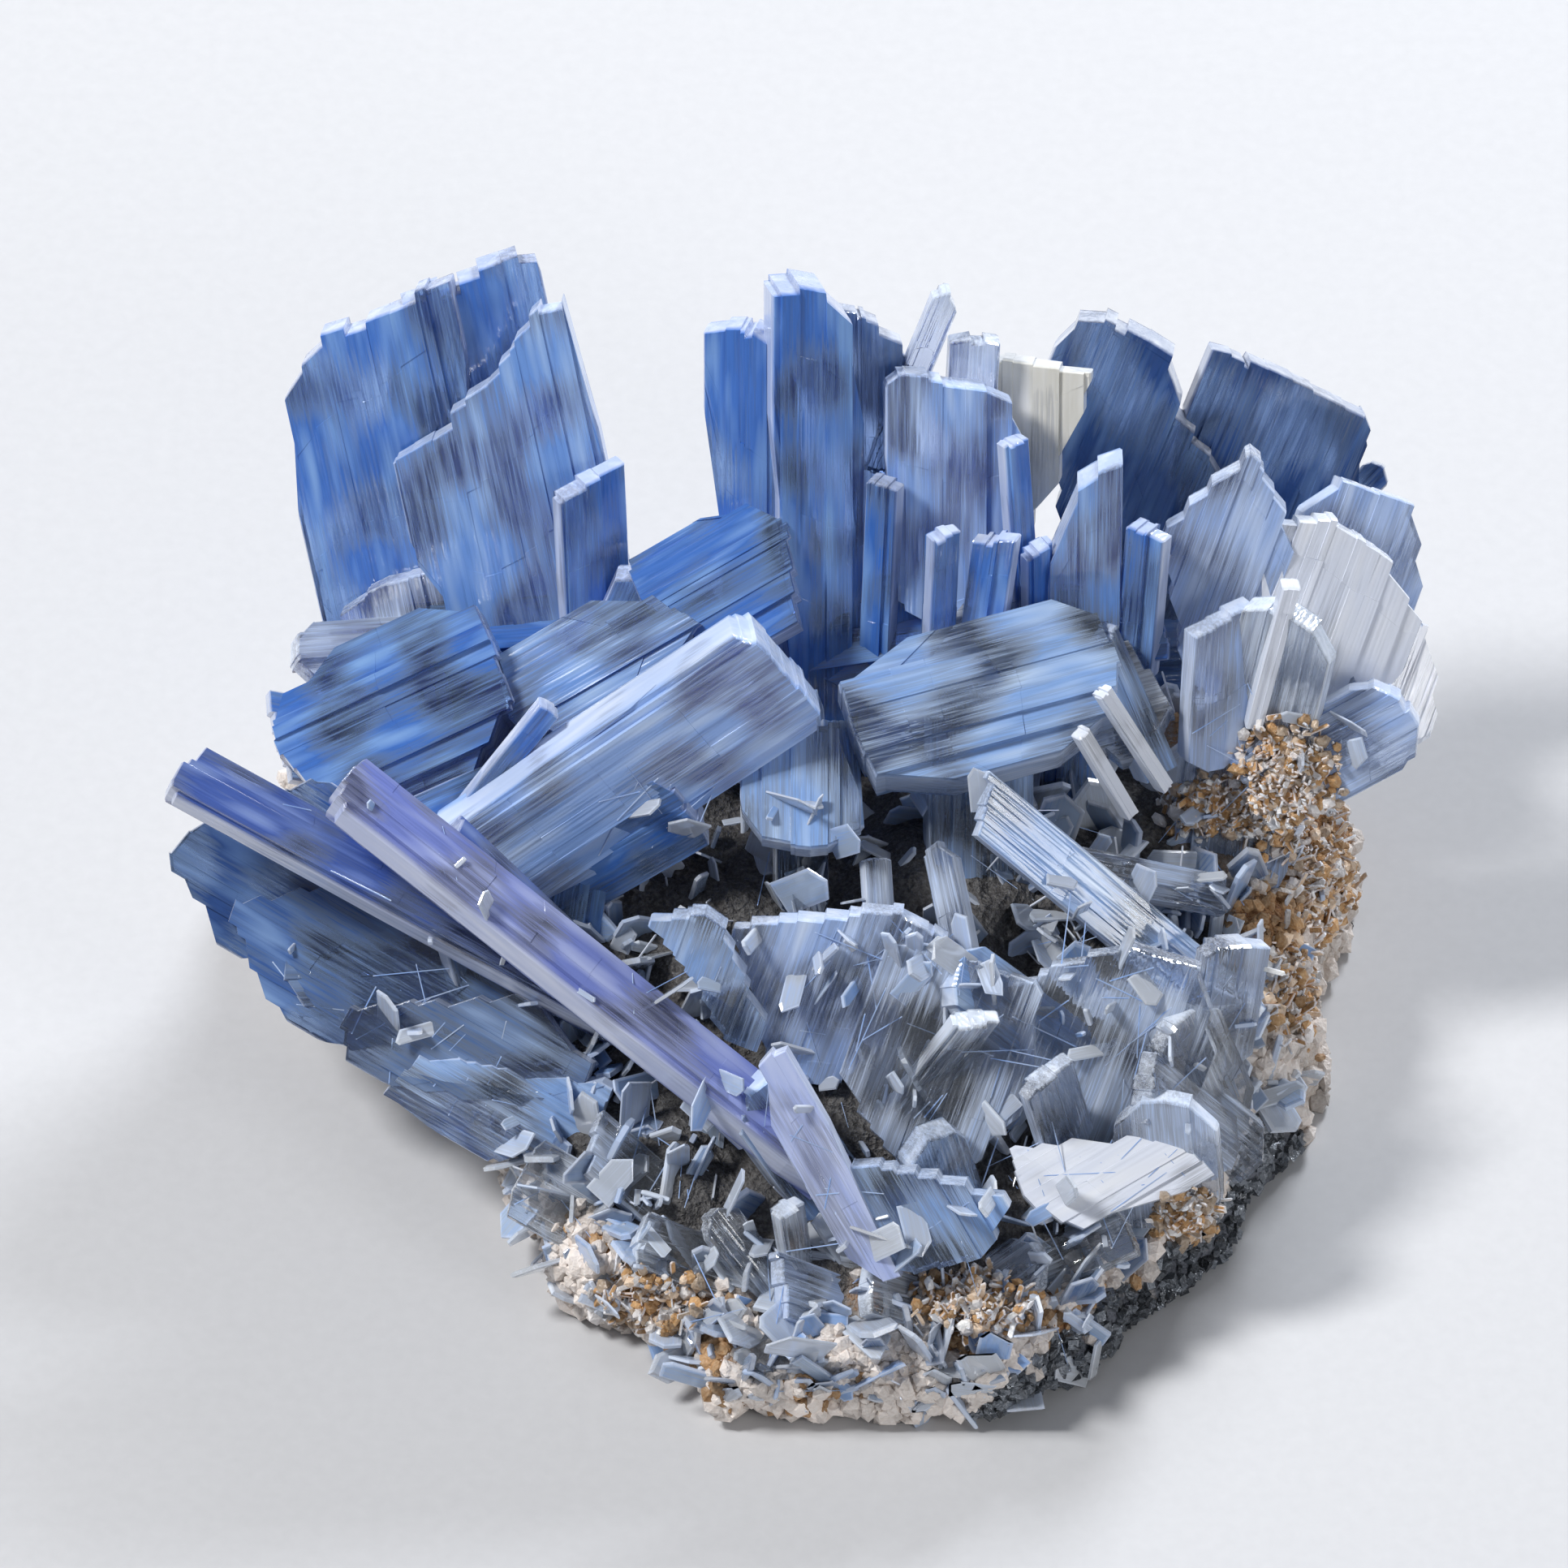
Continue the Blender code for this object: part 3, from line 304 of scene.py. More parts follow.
# Each tone is the milky colour and how milky the crystal is, from 0, clear, to 1, opaque.
TONES = {
    "blue": (0.060, 0.185, 0.58, 0.36),
    "deep": (0.055, 0.105, 0.36, 0.34),
    "violet": (0.17, 0.22, 0.55, 0.42),
    "indigo": (0.040, 0.105, 0.32, 0.24),
    "night": (0.022, 0.065, 0.22, 0.46),
    "sky": (0.17, 0.34, 0.74, 0.42),
    "light": (0.28, 0.45, 0.84, 0.44),
    "lilac": (0.44, 0.52, 0.84, 0.58),
    "pale": (0.36, 0.50, 0.82, 0.36),
    "white": (0.80, 0.84, 0.94, 0.78),
    "cream": (0.72, 0.69, 0.60, 0.90),
    "haze": (0.26, 0.43, 0.78, 0.30),
    "clear": (0.46, 0.58, 0.82, 0.10),
    "glass": (0.56, 0.65, 0.80, 0.00),
    "smoke": (0.08, 0.15, 0.33, 0.12),
}

# Each spray: its crystals, its tone, the direction its plates' striations run, in degrees to the
# left of upright, and the tones of single crystals that differ.
SPRAYS = {
    "white_strap_blade": (STRAP_BLADE, "haze", 30, {0: "lilac"}),
    "long_diagonal_blade": (LONG_DIAGONAL_BLADE, "violet", 0, {1: "deep", 2: "haze"}),
    "deep_blue_blade": (DEEP_BLUE_BLADE, "deep", 0, {1: "indigo", 2: "smoke"}),
    "lower_clear_plates": (LOWER_CLEAR_PLATES, "clear", -20,
                           {0: "haze", 1: "pale", 4: "haze", 5: "glass"}),
    "lower_right_plates": (LOWER_RIGHT_PLATES, "clear", -60,
                           {0: "white", 1: "haze", 3: "clear", 4: "glass"}),
    "front_crust_crystals": (FRONT_CRUST, "glass", 0, {1: "clear", 4: "pale", 8: "clear"}),
    "left_shelf_plates": (LEFT_SHELF_PLATES, "smoke", 60, {0: "night", 1: "indigo", 3: "haze"}),
    "slanting_blade": (SLANTING_BLADE, "blue", 0, {0: "light"}),
    "round_blade": (ROUND_BLADE, "haze", 0, {3: "smoke"}),
    "clear_block": (CLEAR_BLOCK, "haze", -75, {1: "glass", 3: "white", 4: "white"}),
    "blue_block": (BLUE_BLOCK, "blue", -65, {1: "clear"}),
    "blades_behind_slanting": (BEHIND_SLANTING_BLADE, "blue", -60, {0: "sky"}),
    "clear_spear": (CLEAR_SPEAR, "blue", 0, {0: "sky"}),
    "pale_fan": (PALE_FAN, "pale", -20, {1: "white", 3: "white", 4: "glass", 7: "white"}),
    "centre_spires": (CENTRE_SPIRES, "blue", 0,
                      {2: "indigo", 3: "light", 4: "cream", 5: "glass", 6: "clear"}),
    "right_plate_spray": (RIGHT_PLATE_SPRAY, "night", -22, {}),
    "left_plate_spray": (LEFT_PLATE_SPRAY, "blue", 12, {0: "sky", 3: "clear"}),
}

# The striated growth: strips along the crystal, of about this width, whose faces stand at levels
# that differ by a share of the thickness, and whose ends differ by a share of the length.
STRIP = 1.0
NARROW = 5.0
STRIP_SPREAD = (0.25, 2.2)
LEVEL_STEP = 0.035
LEVEL_MEMORY = 0.5
END_STEP = 0.012
ROW = 5.5
WALL = 0.012

# The outermost strip and the next one are thinner by these shares, if there are enough strips.
OUTER_LEVEL = (0.72, 3)
NEXT_LEVEL = (0.9, 5)

# The rim around a face, whose tone is whitened as a painted highlight, is this wide, at most this share of
# the width and of the length.
RIM = 0.15
RIM_SHARE = 0.08
RIM_ROW_SHARE = 0.1
RIM_LEVEL = 0.70

# The skin stays this share of the width inside the outline, and each strip's end is squared off
# by these shares, the second for rounded ends.
MARGIN = 0.012
BLUNT = 0.4
BLUNT_ROUND = 0.25
LEAST_STRIP = 0.2

# This share of the strips' pieces stand a little higher or lower, by this share of LEVEL_STEP.
STEPPED = 0.45
STEP_SHARE = 0.45

# Patterns are looked up this far apart, so that no two crystals show the same one.
PATTERN_SPREAD = 200

# Painted highlight: edges are whiter and milkier than faces by these shares, towards this colour, standing in
# for the light that fine steps catch there.
EDGE_HIGHLIGHT_WHITE = 0.55
EDGE_HIGHLIGHT_MILK = 0.42
EDGE_HIGHLIGHT_COLOUR = (0.80, 0.86, 0.96)

# Faces are uneven by this much.
UNEVEN = 0.022

# A small blade's broad faces are narrower than its middle by this share, which bevels its edges.
BEVEL = 0.78


def in_view(across, up, towards):
    """A place or direction given in the view's plane, in the frame's axes."""
    lean, rise = math.cos(VIEW_TILT), math.sin(VIEW_TILT)
    return Vector((across, up * rise - towards * lean, up * lean + towards * rise))


class Pile:
    """Points and faces that become one mesh, with each point's place in its crystal and its tone."""

    def __init__(self):
        self.points = []
        self.faces = []
        self.places = []
        self.tones = []

    def add(self, points, faces, places, tones):
        first = len(self.points)
        self.points += points
        self.faces += [[first + corner for corner in face] for face in faces]
        self.places += places
        self.tones += tones

    def make(self, name, material, carrier, replaced=()):
        """The piece, inside the CAD model's box, riding on the one body."""
        low, high = (np.array(corner[:]) for corner in CAD_BOX)
        points = np.clip(np.array(self.points) * MM, low, high)
        mesh = bpy.data.meshes.new(name)
        mesh.from_pydata(points.tolist(), [], self.faces)
        places = mesh.attributes.new("place", "FLOAT_VECTOR", "POINT")
        places.data.foreach_set("vector", np.array(self.places, dtype=np.float32).ravel())
        tones = mesh.attributes.new("tone", "FLOAT_COLOR", "POINT")
        tones.data.foreach_set("color", np.array(self.tones, dtype=np.float32).ravel())
        mesh.validate()
        mesh.materials.append(material)
        piece = bpy.data.objects.new(name, mesh)
        bpy.context.scene.collection.objects.link(piece)
        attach(piece, "root")
        if replaced:
            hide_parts(*replaced)
        return piece


def crystal_form(crystal, turn):
    """The crystal's outline with its striations along +Y, and the frame that places it."""
    if isinstance(crystal, Blade):
        foot, tip = in_view(*crystal.foot), in_view(*crystal.tip)
        length = (tip - foot).length
        along = (tip - foot) / length
        facing = in_view(*crystal.facing)
        facing = (facing - along * facing.dot(along)).normalized()
        half = crystal.width / 2
        outline = [Vector((-half * 0.9, 0)), Vector((half * 0.9, 0))]
        outline += [Vector((share * half, length - short * half)) for share, short in ENDS[crystal.end]]
        frame_of = Matrix((along.cross(facing), along, facing)).transposed().to_4x4()
        return outline, Matrix.Translation(foot + VIEW_ORIGIN) @ frame_of
    count = len(crystal.outline)
    middle = sum((Vector(point) for point in crystal.outline), Vector((0, 0))) / count
    turned = Matrix.Rotation(-math.radians(turn), 2)
    outline = [turned @ (Vector(point) - middle) for point in crystal.outline]
    across = in_view(1, 0, crystal.lean[0])
    upward = in_view(0, 1, crystal.lean[1])
    facing = across.cross(upward).normalized()
    back = Matrix.Rotation(math.radians(turn), 4, "Z")
    frame_of = Matrix((across, upward, facing)).transposed().to_4x4() @ back
    place = in_view(middle.x, middle.y, crystal.depth) + VIEW_ORIGIN
    return outline, Matrix.Translation(place) @ frame_of


def polygon_span(outline, x):
    """The lowest and highest y of a polygon at x."""
    hits = []
    for start, end in zip(outline, outline[1:] + outline[:1]):
        if (start.x - x) * (end.x - x) <= 0 and start.x != end.x:
            hits.append(start.y + (end.y - start.y) * (x - start.x) / (end.x - start.x))
    return min(hits), max(hits)


def breaks(start, end, pitch, chance):
    """Uneven divisions of a length, of about the pitch."""
    places = [start]
    while end - places[-1] > pitch * STRIP_SPREAD[1]:
        places.append(places[-1] + pitch * chance.uniform(*STRIP_SPREAD))
    return places + [end]


def highlit_edge_tone(tone):
    """The tone of a crystal's stepped edges, whitened and made milkier as a painted highlight."""
    red, green, blue, milk = tone
    colour = [value + (white - value) * EDGE_HIGHLIGHT_WHITE for value, white in zip((red, green, blue), EDGE_HIGHLIGHT_COLOUR)]
    return (*colour, min(milk + EDGE_HIGHLIGHT_MILK, 1.0))


def strip_columns(outline, blunt, chance):
    """The lines along a crystal that bound its strips, and the width of its rim.

    Each line is (x, bottom, top, level, whether it is an outer edge, the strip's number).
    """
    left = min(point.x for point in outline)
    right = max(point.x for point in outline)
    width, length = right - left, outline_length(outline)
    strip = STRIP * min(1.0, width / NARROW)
    rim = min(RIM, width * RIM_SHARE)
    cuts = breaks(left + width * MARGIN, right - width * MARGIN, strip, chance)
    columns = []
    level = 1.0
    strips = len(cuts) - 1
    for number, (start, end) in enumerate(zip(cuts, cuts[1:])):
        level = 1 + (level - 1) * LEVEL_MEMORY + chance.gauss(0, LEVEL_STEP)
        body = level
        for from_side, (share, enough) in enumerate((OUTER_LEVEL, NEXT_LEVEL)):
            if min(number, strips - 1 - number) == from_side and strips > enough:
                body = level * share
        middle_low, middle_high = polygon_span(outline, (start + end) / 2)
        drop = abs(chance.gauss(0, END_STEP)) * length
        stops = [start + WALL, end - WALL]
        if number == 0:
            stops = [start, start + rim, end - WALL]
        if number == strips - 1:
            stops = stops[:-1] + [end - rim, end]
        for stop in sorted(stops):
            bottom, top = polygon_span(outline, stop)
            top = top + (middle_high - top) * blunt - drop
            bottom = bottom + (middle_low - bottom) * blunt + drop * 0.5
            outer = stop in (cuts[0], cuts[-1])
            columns.append((stop, bottom, max(top, bottom + LEAST_STRIP), body, outer, number))
    return columns, rim


def outline_length(outline):
    return max(point.y for point in outline) - min(point.y for point in outline)


def growth_rows(length, rim, strips, chance):
    """The stations along a crystal, as (share of its length, row, whether it is an end), and the
    steps of each side's strips in each row."""
    rows = breaks(0.0, 1.0, ROW / max(length, ROW), chance)
    steps = {
        (side, number, row): chance.gauss(0, LEVEL_STEP * STEP_SHARE) if chance.random() < STEPPED else 0.0
        for side in (0, 1) for number in range(strips) for row in range(len(rows) - 1)
    }
    rim_row = min(rim / length, RIM_ROW_SHARE)
    stations = [(0.0, 0, True)]
    for row, (start, end) in enumerate(zip(rows, rows[1:])):
        first = rim_row if row == 0 else start + WALL / length
        last = 1 - rim_row if row == len(rows) - 2 else end - WALL / length
        stations += [(first, row, False), (last, row, False)]
    stations.append((1.0, len(rows) - 2, True))
    return stations, steps


def skin_faces(wide, tall):
    """The faces that close two grids of points, front and back, into one skin."""
    skin = wide * tall
    faces = []
    for i in range(wide - 1):
        for j in range(tall - 1):
            a, b, c, d = i * tall + j, (i + 1) * tall + j, (i + 1) * tall + j + 1, i * tall + j + 1
            faces += [[a, b, c, d], [skin + d, skin + c, skin + b, skin + a]]
        a, b = i * tall, (i + 1) * tall
        faces.append([b, a, skin + a, skin + b])
        faces.append([a + tall - 1, b + tall - 1, skin + b + tall - 1, skin + a + tall - 1])
    for j in range(tall - 1):
        a, b = j, (wide - 1) * tall + j
        faces.append([a, a + 1, skin + a + 1, skin + a])
        faces.append([b + 1, b, skin + b, skin + b + 1])
    return faces


def pattern_offset(chance):
    return Vector([chance.uniform(-PATTERN_SPREAD, PATTERN_SPREAD) for _ in range(3)])


def striated_crystal(pile, crystal, turn, tone, chance):
    """One crystal of parallel strips with stepped faces and stepped ends, as a closed skin."""
    outline, frame_of = crystal_form(crystal, turn)
    rounded = isinstance(crystal, Blade) and crystal.end == "round"
    columns, rim = strip_columns(outline, BLUNT_ROUND if rounded else BLUNT, chance)
    strips = columns[-1][5] + 1
    stations, steps = growth_rows(outline_length(outline), rim, strips, chance)
    offset = pattern_offset(chance)
    half = crystal.thick / 2
    points, places, tones = [], [], []
    highlit_rim_tone = highlit_edge_tone(tone)
    for side in (0, 1):
        for x, bottom, top, body, outer, number in columns:
            for share, row, end_rim in stations:
                on_rim = outer or end_rim
                # Rim points take the edge tone, a painted highlight.
                tones.append(highlit_rim_tone if on_rim else tone)
                y = bottom + (top - bottom) * share
                z = half * (body + steps[side, number, row]) * (RIM_LEVEL if on_rim else 1.0)
                z += chance.gauss(0, UNEVEN)
                place = Vector((x, y, z if side == 0 else -z))
                points.append(frame_of @ place)
                places.append(place + offset)
    pile.add(points, skin_faces(len(columns), len(stations)), places, tones)


def small_blade(pile, foot, along, facing, length, width, thick, tone, chance):
    """A small six-sided tabular crystal with bevelled edges, from its foot."""
    facing = (facing - along * facing.dot(along)).normalized()
    frame_of = Matrix((along.cross(facing), along, facing)).transposed().to_4x4()
    frame_of = Matrix.Translation(foot) @ frame_of
    skew = chance.uniform(-0.6, 0.6)
    half = width / 2
    outline = [
        (-half, 0), (half, 0), (half, length - half * chance.uniform(0.2, 1.1)),
        (half * skew, length), (-half, length - half * chance.uniform(0.2, 1.3)),
    ]
    count = len(outline)
    offset = pattern_offset(chance)
    points, places = [], []
    for z, share in ((-thick / 2, BEVEL), (-thick * 0.3, 1.0), (thick * 0.3, 1.0), (thick / 2, BEVEL)):
        for x, y in outline:
            place = Vector((x * share, length / 2 + (y - length / 2) * (share + 1) / 2, z))
            points.append(frame_of @ place)
            places.append(place + offset)
    faces = [list(range(count))[::-1], [3 * count + k for k in range(count)]]
    for ring in range(3):
        for k in range(count):
            a, b = ring * count + k, ring * count + (k + 1) % count
            faces.append([a, b, b + count, a + count])
    # The middle rings round the bevelled edges take the edge tone, a painted highlight.
    edge_glint_tone = highlit_edge_tone(tone)
    pile.add(points, faces, places, [tone] * count + [edge_glint_tone] * 2 * count + [tone] * count)


class Graph:
    """Short ways to add the nodes of a material."""

    def __init__(self, name):
        self.material = bpy.data.materials.new(name)
        self.material.use_nodes = True
        self.tree = self.material.node_tree
        self.shader = self.tree.nodes["Principled BSDF"]
        self.output = self.tree.nodes["Material Output"]

    def feed(self, node, key, value):
        """Links an output to the input, or sets the input's own value."""
        if isinstance(value, bpy.types.NodeSocket):
            self.tree.links.new(value, node.inputs[key])
        elif value is not None:
            node.inputs[key].default_value = value

    def shade(self, key, value):
        self.feed(self.shader, key, value)

    def node(self, kind, inputs, output=0, **settings):
        """Adds a node with these inputs and settings, and returns one of its outputs."""
        node = self.tree.nodes.new("ShaderNode" + kind)
        for key, value in settings.items():
            setattr(node, key, value)
        for key, value in inputs.items():
            self.feed(node, key, value)
        return node.outputs[output]

    def attribute(self, name, output):
        return self.node("Attribute", {}, output, attribute_name=name)

    def math(self, operation, first, second, clamp=False):
        return self.node("Math", {0: first, 1: second}, operation=operation, use_clamp=clamp)

    def stretched(self, vector, scale):
        return self.node("VectorMath", {0: vector, 1: scale}, operation="MULTIPLY")

    def noise(self, vector, scale, detail, roughness=0.55):
        inputs = {"Vector": vector, "Scale": scale, "Detail": detail, "Roughness": roughness}
        return self.node("TexNoise", inputs, "Fac")

    def cells(self, vector, scale):
        return self.node("TexVoronoi", {"Vector": vector, "Scale": scale}, "Distance")

    def range(self, value, low, high, new_low=0.0, new_high=1.0):
        inputs = {"Value": value, "From Min": low, "From Max": high, "To Min": new_low, "To Max": new_high}
        return self.node("MapRange", inputs, "Result")

    def mix(self, share, first, second):
        return self.node("Mix", {0: share, 6: first, 7: second}, 2, data_type="RGBA")

    def gamma(self, colour, power):
        return self.node("Gamma", {"Color": colour, "Gamma": power})

    def bump(self, height, distance):
        return self.node("Bump", {"Height": height, "Distance": distance * MM, "Strength": 1.0})

    def absorb(self, colour, density):
        inputs = {"Color": (*colour, 1), "Density": density}
        self.feed(self.output, "Volume", self.node("VolumeAbsorption", inputs))


# The barite's refractive index, and the colour and density, per metre, of its absorption.
BARITE_IOR = 1.636
ABSORPTION = {"blue": ((0.30, 0.48, 0.96), 150.0), "clear": ((0.66, 0.76, 0.92), 70.0)}

# How much light passes where the barite is clearest and where it is milkiest, and how rough it is there.
CLEAREST = {"blue": 0.95, "clear": 0.95, "small": 0.50}
MILKIEST = 0.10
ROUGHNESS = (0.02, 0.15)
FINE_ROUGHNESS = 0.05

# The patterns are noises, stretched along the growth by these scales.
WISP_SHAPE = (1.0, 0.16, 1.0)
STREAK_SHAPE = (1.0, 0.035, 0.6)
FINE_SHAPE = (1.0, 0.025, 0.8)
STREAK_DEPTH = 0.035


def barite_material(name, kind, veil):
    """Striated translucent barite: clear zones, milky clouds and fine streaks along the growth."""
    graph = Graph(name)
    place = graph.attribute("place", "Vector")
    tone = graph.attribute("tone", "Color")
    milkiness = graph.attribute("tone", "Alpha")
    clouds = graph.noise(place, 0.19, 0.0)
    wisps = graph.noise(graph.stretched(place, WISP_SHAPE), 0.8, 1.0, 0.6)
    streaks = graph.noise(graph.stretched(place, STREAK_SHAPE), 4.2, 0.0)
    fine = graph.noise(graph.stretched(place, FINE_SHAPE), 14.0, 0.0)
    milk = graph.math("ADD", milkiness, graph.range(clouds, 0.36, 0.64, -0.24, 0.38))
    milk = graph.math("ADD", milk, graph.range(wisps, 0.42, 0.74, 0.0, veil))
    milk = graph.math("ADD", milk, graph.range(fine, 0.56, 0.70, 0.0, 0.24))
    milk = graph.math("ADD", milk, graph.range(streaks, 0.42, 0.66, -0.05, 0.12), clamp=True)
    tint = graph.gamma(tone, 0.34)
    veiled = graph.mix(graph.range(wisps, 0.44, 0.78), tone, graph.gamma(tone, 0.5))
    graph.shade("Base Color", graph.mix(graph.range(milk, 0.12, 0.75), tint, veiled))
    graph.shade("Transmission Weight", graph.range(milk, 0.1, 0.85, CLEAREST[kind], MILKIEST))
    milk_rough = graph.range(milk, 0.2, 1.0, *ROUGHNESS)
    graph.shade("Roughness", graph.math("ADD", milk_rough, graph.range(fine, 0.4, 0.7, 0.0, FINE_ROUGHNESS)))
    if kind != "small":
        graph.shade("Normal", graph.bump(streaks, STREAK_DEPTH))
    graph.shader.inputs["IOR"].default_value = BARITE_IOR
    if kind in ABSORPTION:
        graph.absorb(*ABSORPTION[kind])
    return graph.material


# The sprays of clear crystals. The rest are blue. Veils show this much in each kind.
CLEAR_SPRAYS = (
    "lower_clear_plates", "lower_right_plates", "front_crust_crystals", "clear_block", "pale_fan",
    "white_strap_blade", "round_blade",
)
VEILS = {"clear": 0.18, "blue": 0.34}


def dress_sprays():
    """The crystals of each spray, in place of its plain solid."""
    for number, (node, (crystals, tone, turn, special)) in enumerate(SPRAYS.items()):
        pile = Pile()
        for index, crystal in enumerate(crystals):
            chance = random.Random(number * 100 + index)
            look = TONES[special.get(index, tone)]
            striated_crystal(pile, crystal, turn, look, chance)
        kind = "clear" if node in CLEAR_SPRAYS else "blue"
        pile.make(node + "_crystals", barite_material(node, kind, VEILS[kind]), node, (node,))


# The rock, as the CAD model forms it.
ROCK_OUTLINE = (
    (37, -1), (38, 9), (41, 17), (38, 27), (27, 33), (0, 33), (-27, 33), (-38, 26),
    (-38, 14), (-29, 3), (-22, -7), (-17, -22), (-9, -26), (-6, -33), (4, -32), (14, -34),
    (19, -29), (25, -22), (31, -17), (34, -9),
)
ROCK_MIDDLE = (2.0, 2.0)
ROCK_HEIGHT = 19.0
ROCK_FRONT = -34.0
ROCK_FRONT_SHARE = 0.2
ROCK_RIM = 3.0
ROCK_SPREAD = 0.55
ROCK_CROWN = 0.7
ROCK_SWELLS = (11.0, 2.0)
ROCK_BLOCKS = (7.0, 1.8)
ROCK_BLOCK_LEVEL = 0.4
ROCK_GRAIN = (3.2, 0.7)
ROCK_FINENESS = 7

# The rock's own surface stays this far behind the front of the CAD model's box, for the grains on it.
ROCK_SETBACK = 0.6

# Coloured patches of the rock, as (across, up, radius) in the view's plane.
ORANGE_PATCHES = (
    (36, 22, 8.0), (31, 25, 5.0), (40, 17, 4.0), (35, 13, 4.0), (28, -8.5, 3.0), (13, -16.5, 4.5),
    (18, -17, 3.0),
    (-8, -16.5, 4.5), (-15, -12, 3.0), (34, 9, 3.5), (6, -14, 2.5),
)
DARK_PATCHES = (
    (34, -5, 3.6), (32, -10, 3.6), (28, -13.5, 3.6), (24, -17, 3.6), (20, -20, 3.6), (16, -23, 3.6),
    (10, -25, 2.8), (13, -24.5, 2.6),
)


def rock_reach(angle):
    """How far the rock's outline is from its middle in the direction of the angle."""
    ray = Vector((math.cos(angle), math.sin(angle)))
    corners = [Vector(corner) - Vector(ROCK_MIDDLE) for corner in ROCK_OUTLINE]
    for start, end in zip(corners, corners[1:] + corners[:1]):
        side = end - start
        slope = ray.cross(side)
        if abs(slope) < 1e-9:
            continue
        reach = start.cross(side) / slope
        share = start.cross(ray) / slope
        if reach > 0 and 0 <= share <= 1:
            return reach
    raise ValueError("the rock's outline is open")


def rock_point(unit):
    """Where a point of the unit sphere goes on the rock, and how near the rock's rim it is."""
    flat = max(math.hypot(unit.x, unit.y), 1e-6)
    reach = rock_reach(math.atan2(unit.y, unit.x)) * flat**ROCK_SPREAD
    x = ROCK_MIDDLE[0] + reach * unit.x / flat
    y = ROCK_MIDDLE[1] + reach * unit.y / flat
    forward = min(max((ROCK_MIDDLE[1] - y) / (ROCK_MIDDLE[1] - ROCK_FRONT), 0.0), 1.0)
    rise = (ROCK_HEIGHT - ROCK_RIM) * (1 - (1 - ROCK_FRONT_SHARE) * forward)
    point = Vector((x, y, math.copysign(abs(unit.z) ** ROCK_CROWN, unit.z) * rise + ROCK_RIM))
    swells = noise.noise(point / ROCK_SWELLS[0]) * ROCK_SWELLS[1]
    blocks = (noise.voronoi(point / ROCK_BLOCKS[0])[0][0] - ROCK_BLOCK_LEVEL) * ROCK_BLOCKS[1]
    grain = noise.noise(point / ROCK_GRAIN[0]) * ROCK_GRAIN[1]
    return point + unit * (swells + blocks + grain), flat


def patch_share(across, up, patches, jitter):
    """How deep in one of the patches a place is, from 0 to 1, with a ragged border."""
    best = 0.0
    for centre_across, centre_up, radius in patches:
        away = math.hypot(across - centre_across, up - centre_up) / radius
        best = max(best, 1.35 - away + jitter)
    return min(max(best, 0.0), 1.0)


def view_place(point):
    """The (across, up) in the view's plane of a point of the frame, in millimetres."""
    local = point - VIEW_ORIGIN
    return local.x, local.y * math.sin(VIEW_TILT) + local.z * math.cos(VIEW_TILT)


def rock_zones(point, flat):
    """The shares of orange, dark grains and interior at a point of the rock; the interior share is where the
    rock between the crystals is painted dark as shade.
    """
    across, up = view_place(point)
    jitter = noise.noise(point / 2.0) * 0.35
    front = 1.0 if point.z > 0.3 else 0.4
    orange = patch_share(across, up, ORANGE_PATCHES, jitter) * front
    dark = patch_share(across, up, DARK_PATCHES, jitter * 0.6) if point.z < 9 else 0.0
    # The interior share darkens the rock between the crystals with painted shade.
    inside = min(max((0.93 - flat) * 7 + jitter, 0.0), 1.0) if point.z > 4 else 0.0
    return orange, dark, inside * (1 - orange)


def make_rock():
    """The rock with its fine unevenness; returns places on it with their normals and zones."""
    ball = bmesh.new()
    bmesh.ops.create_icosphere(ball, subdivisions=ROCK_FINENESS, radius=1.0)
    zones = []
    for vert in ball.verts:
        unit = vert.co.copy()
        point, flat = rock_point(unit)
        point += VIEW_ORIGIN
        crags = (noise.voronoi(point / 2.4)[0][0] - 0.35) * 0.7
        rough = noise.fractal(point / 1.3, 1.0, 2.0, 4) * 0.32
        point += unit * (crags + rough - 0.1)
        point.z = max(point.z, 0.0)
        point.y = max(point.y, CAD_BOX[0][1] / MM + ROCK_SETBACK)
        orange, dark, inside = rock_zones(point, flat)
        zones.append((orange, dark, inside, 1.0))
        vert.co = point
    ball.normal_update()
    pile = Pile()
    pile.points = [vert.co.copy() for vert in ball.verts]
    pile.faces = [[vert.index for vert in face.verts] for face in ball.faces]
    pile.places = [vert.co[:] for vert in ball.verts]
    pile.tones = zones
    spots = [
        (vert.co.copy(), vert.normal.copy(), zone)
        for vert, zone in zip(ball.verts, zones) if vert.co.z > 0.35
    ]
    ball.free()
    pile.make("matrix_rock_surface", rock_material(), "matrix_rock", ("matrix_rock",))
    return spots


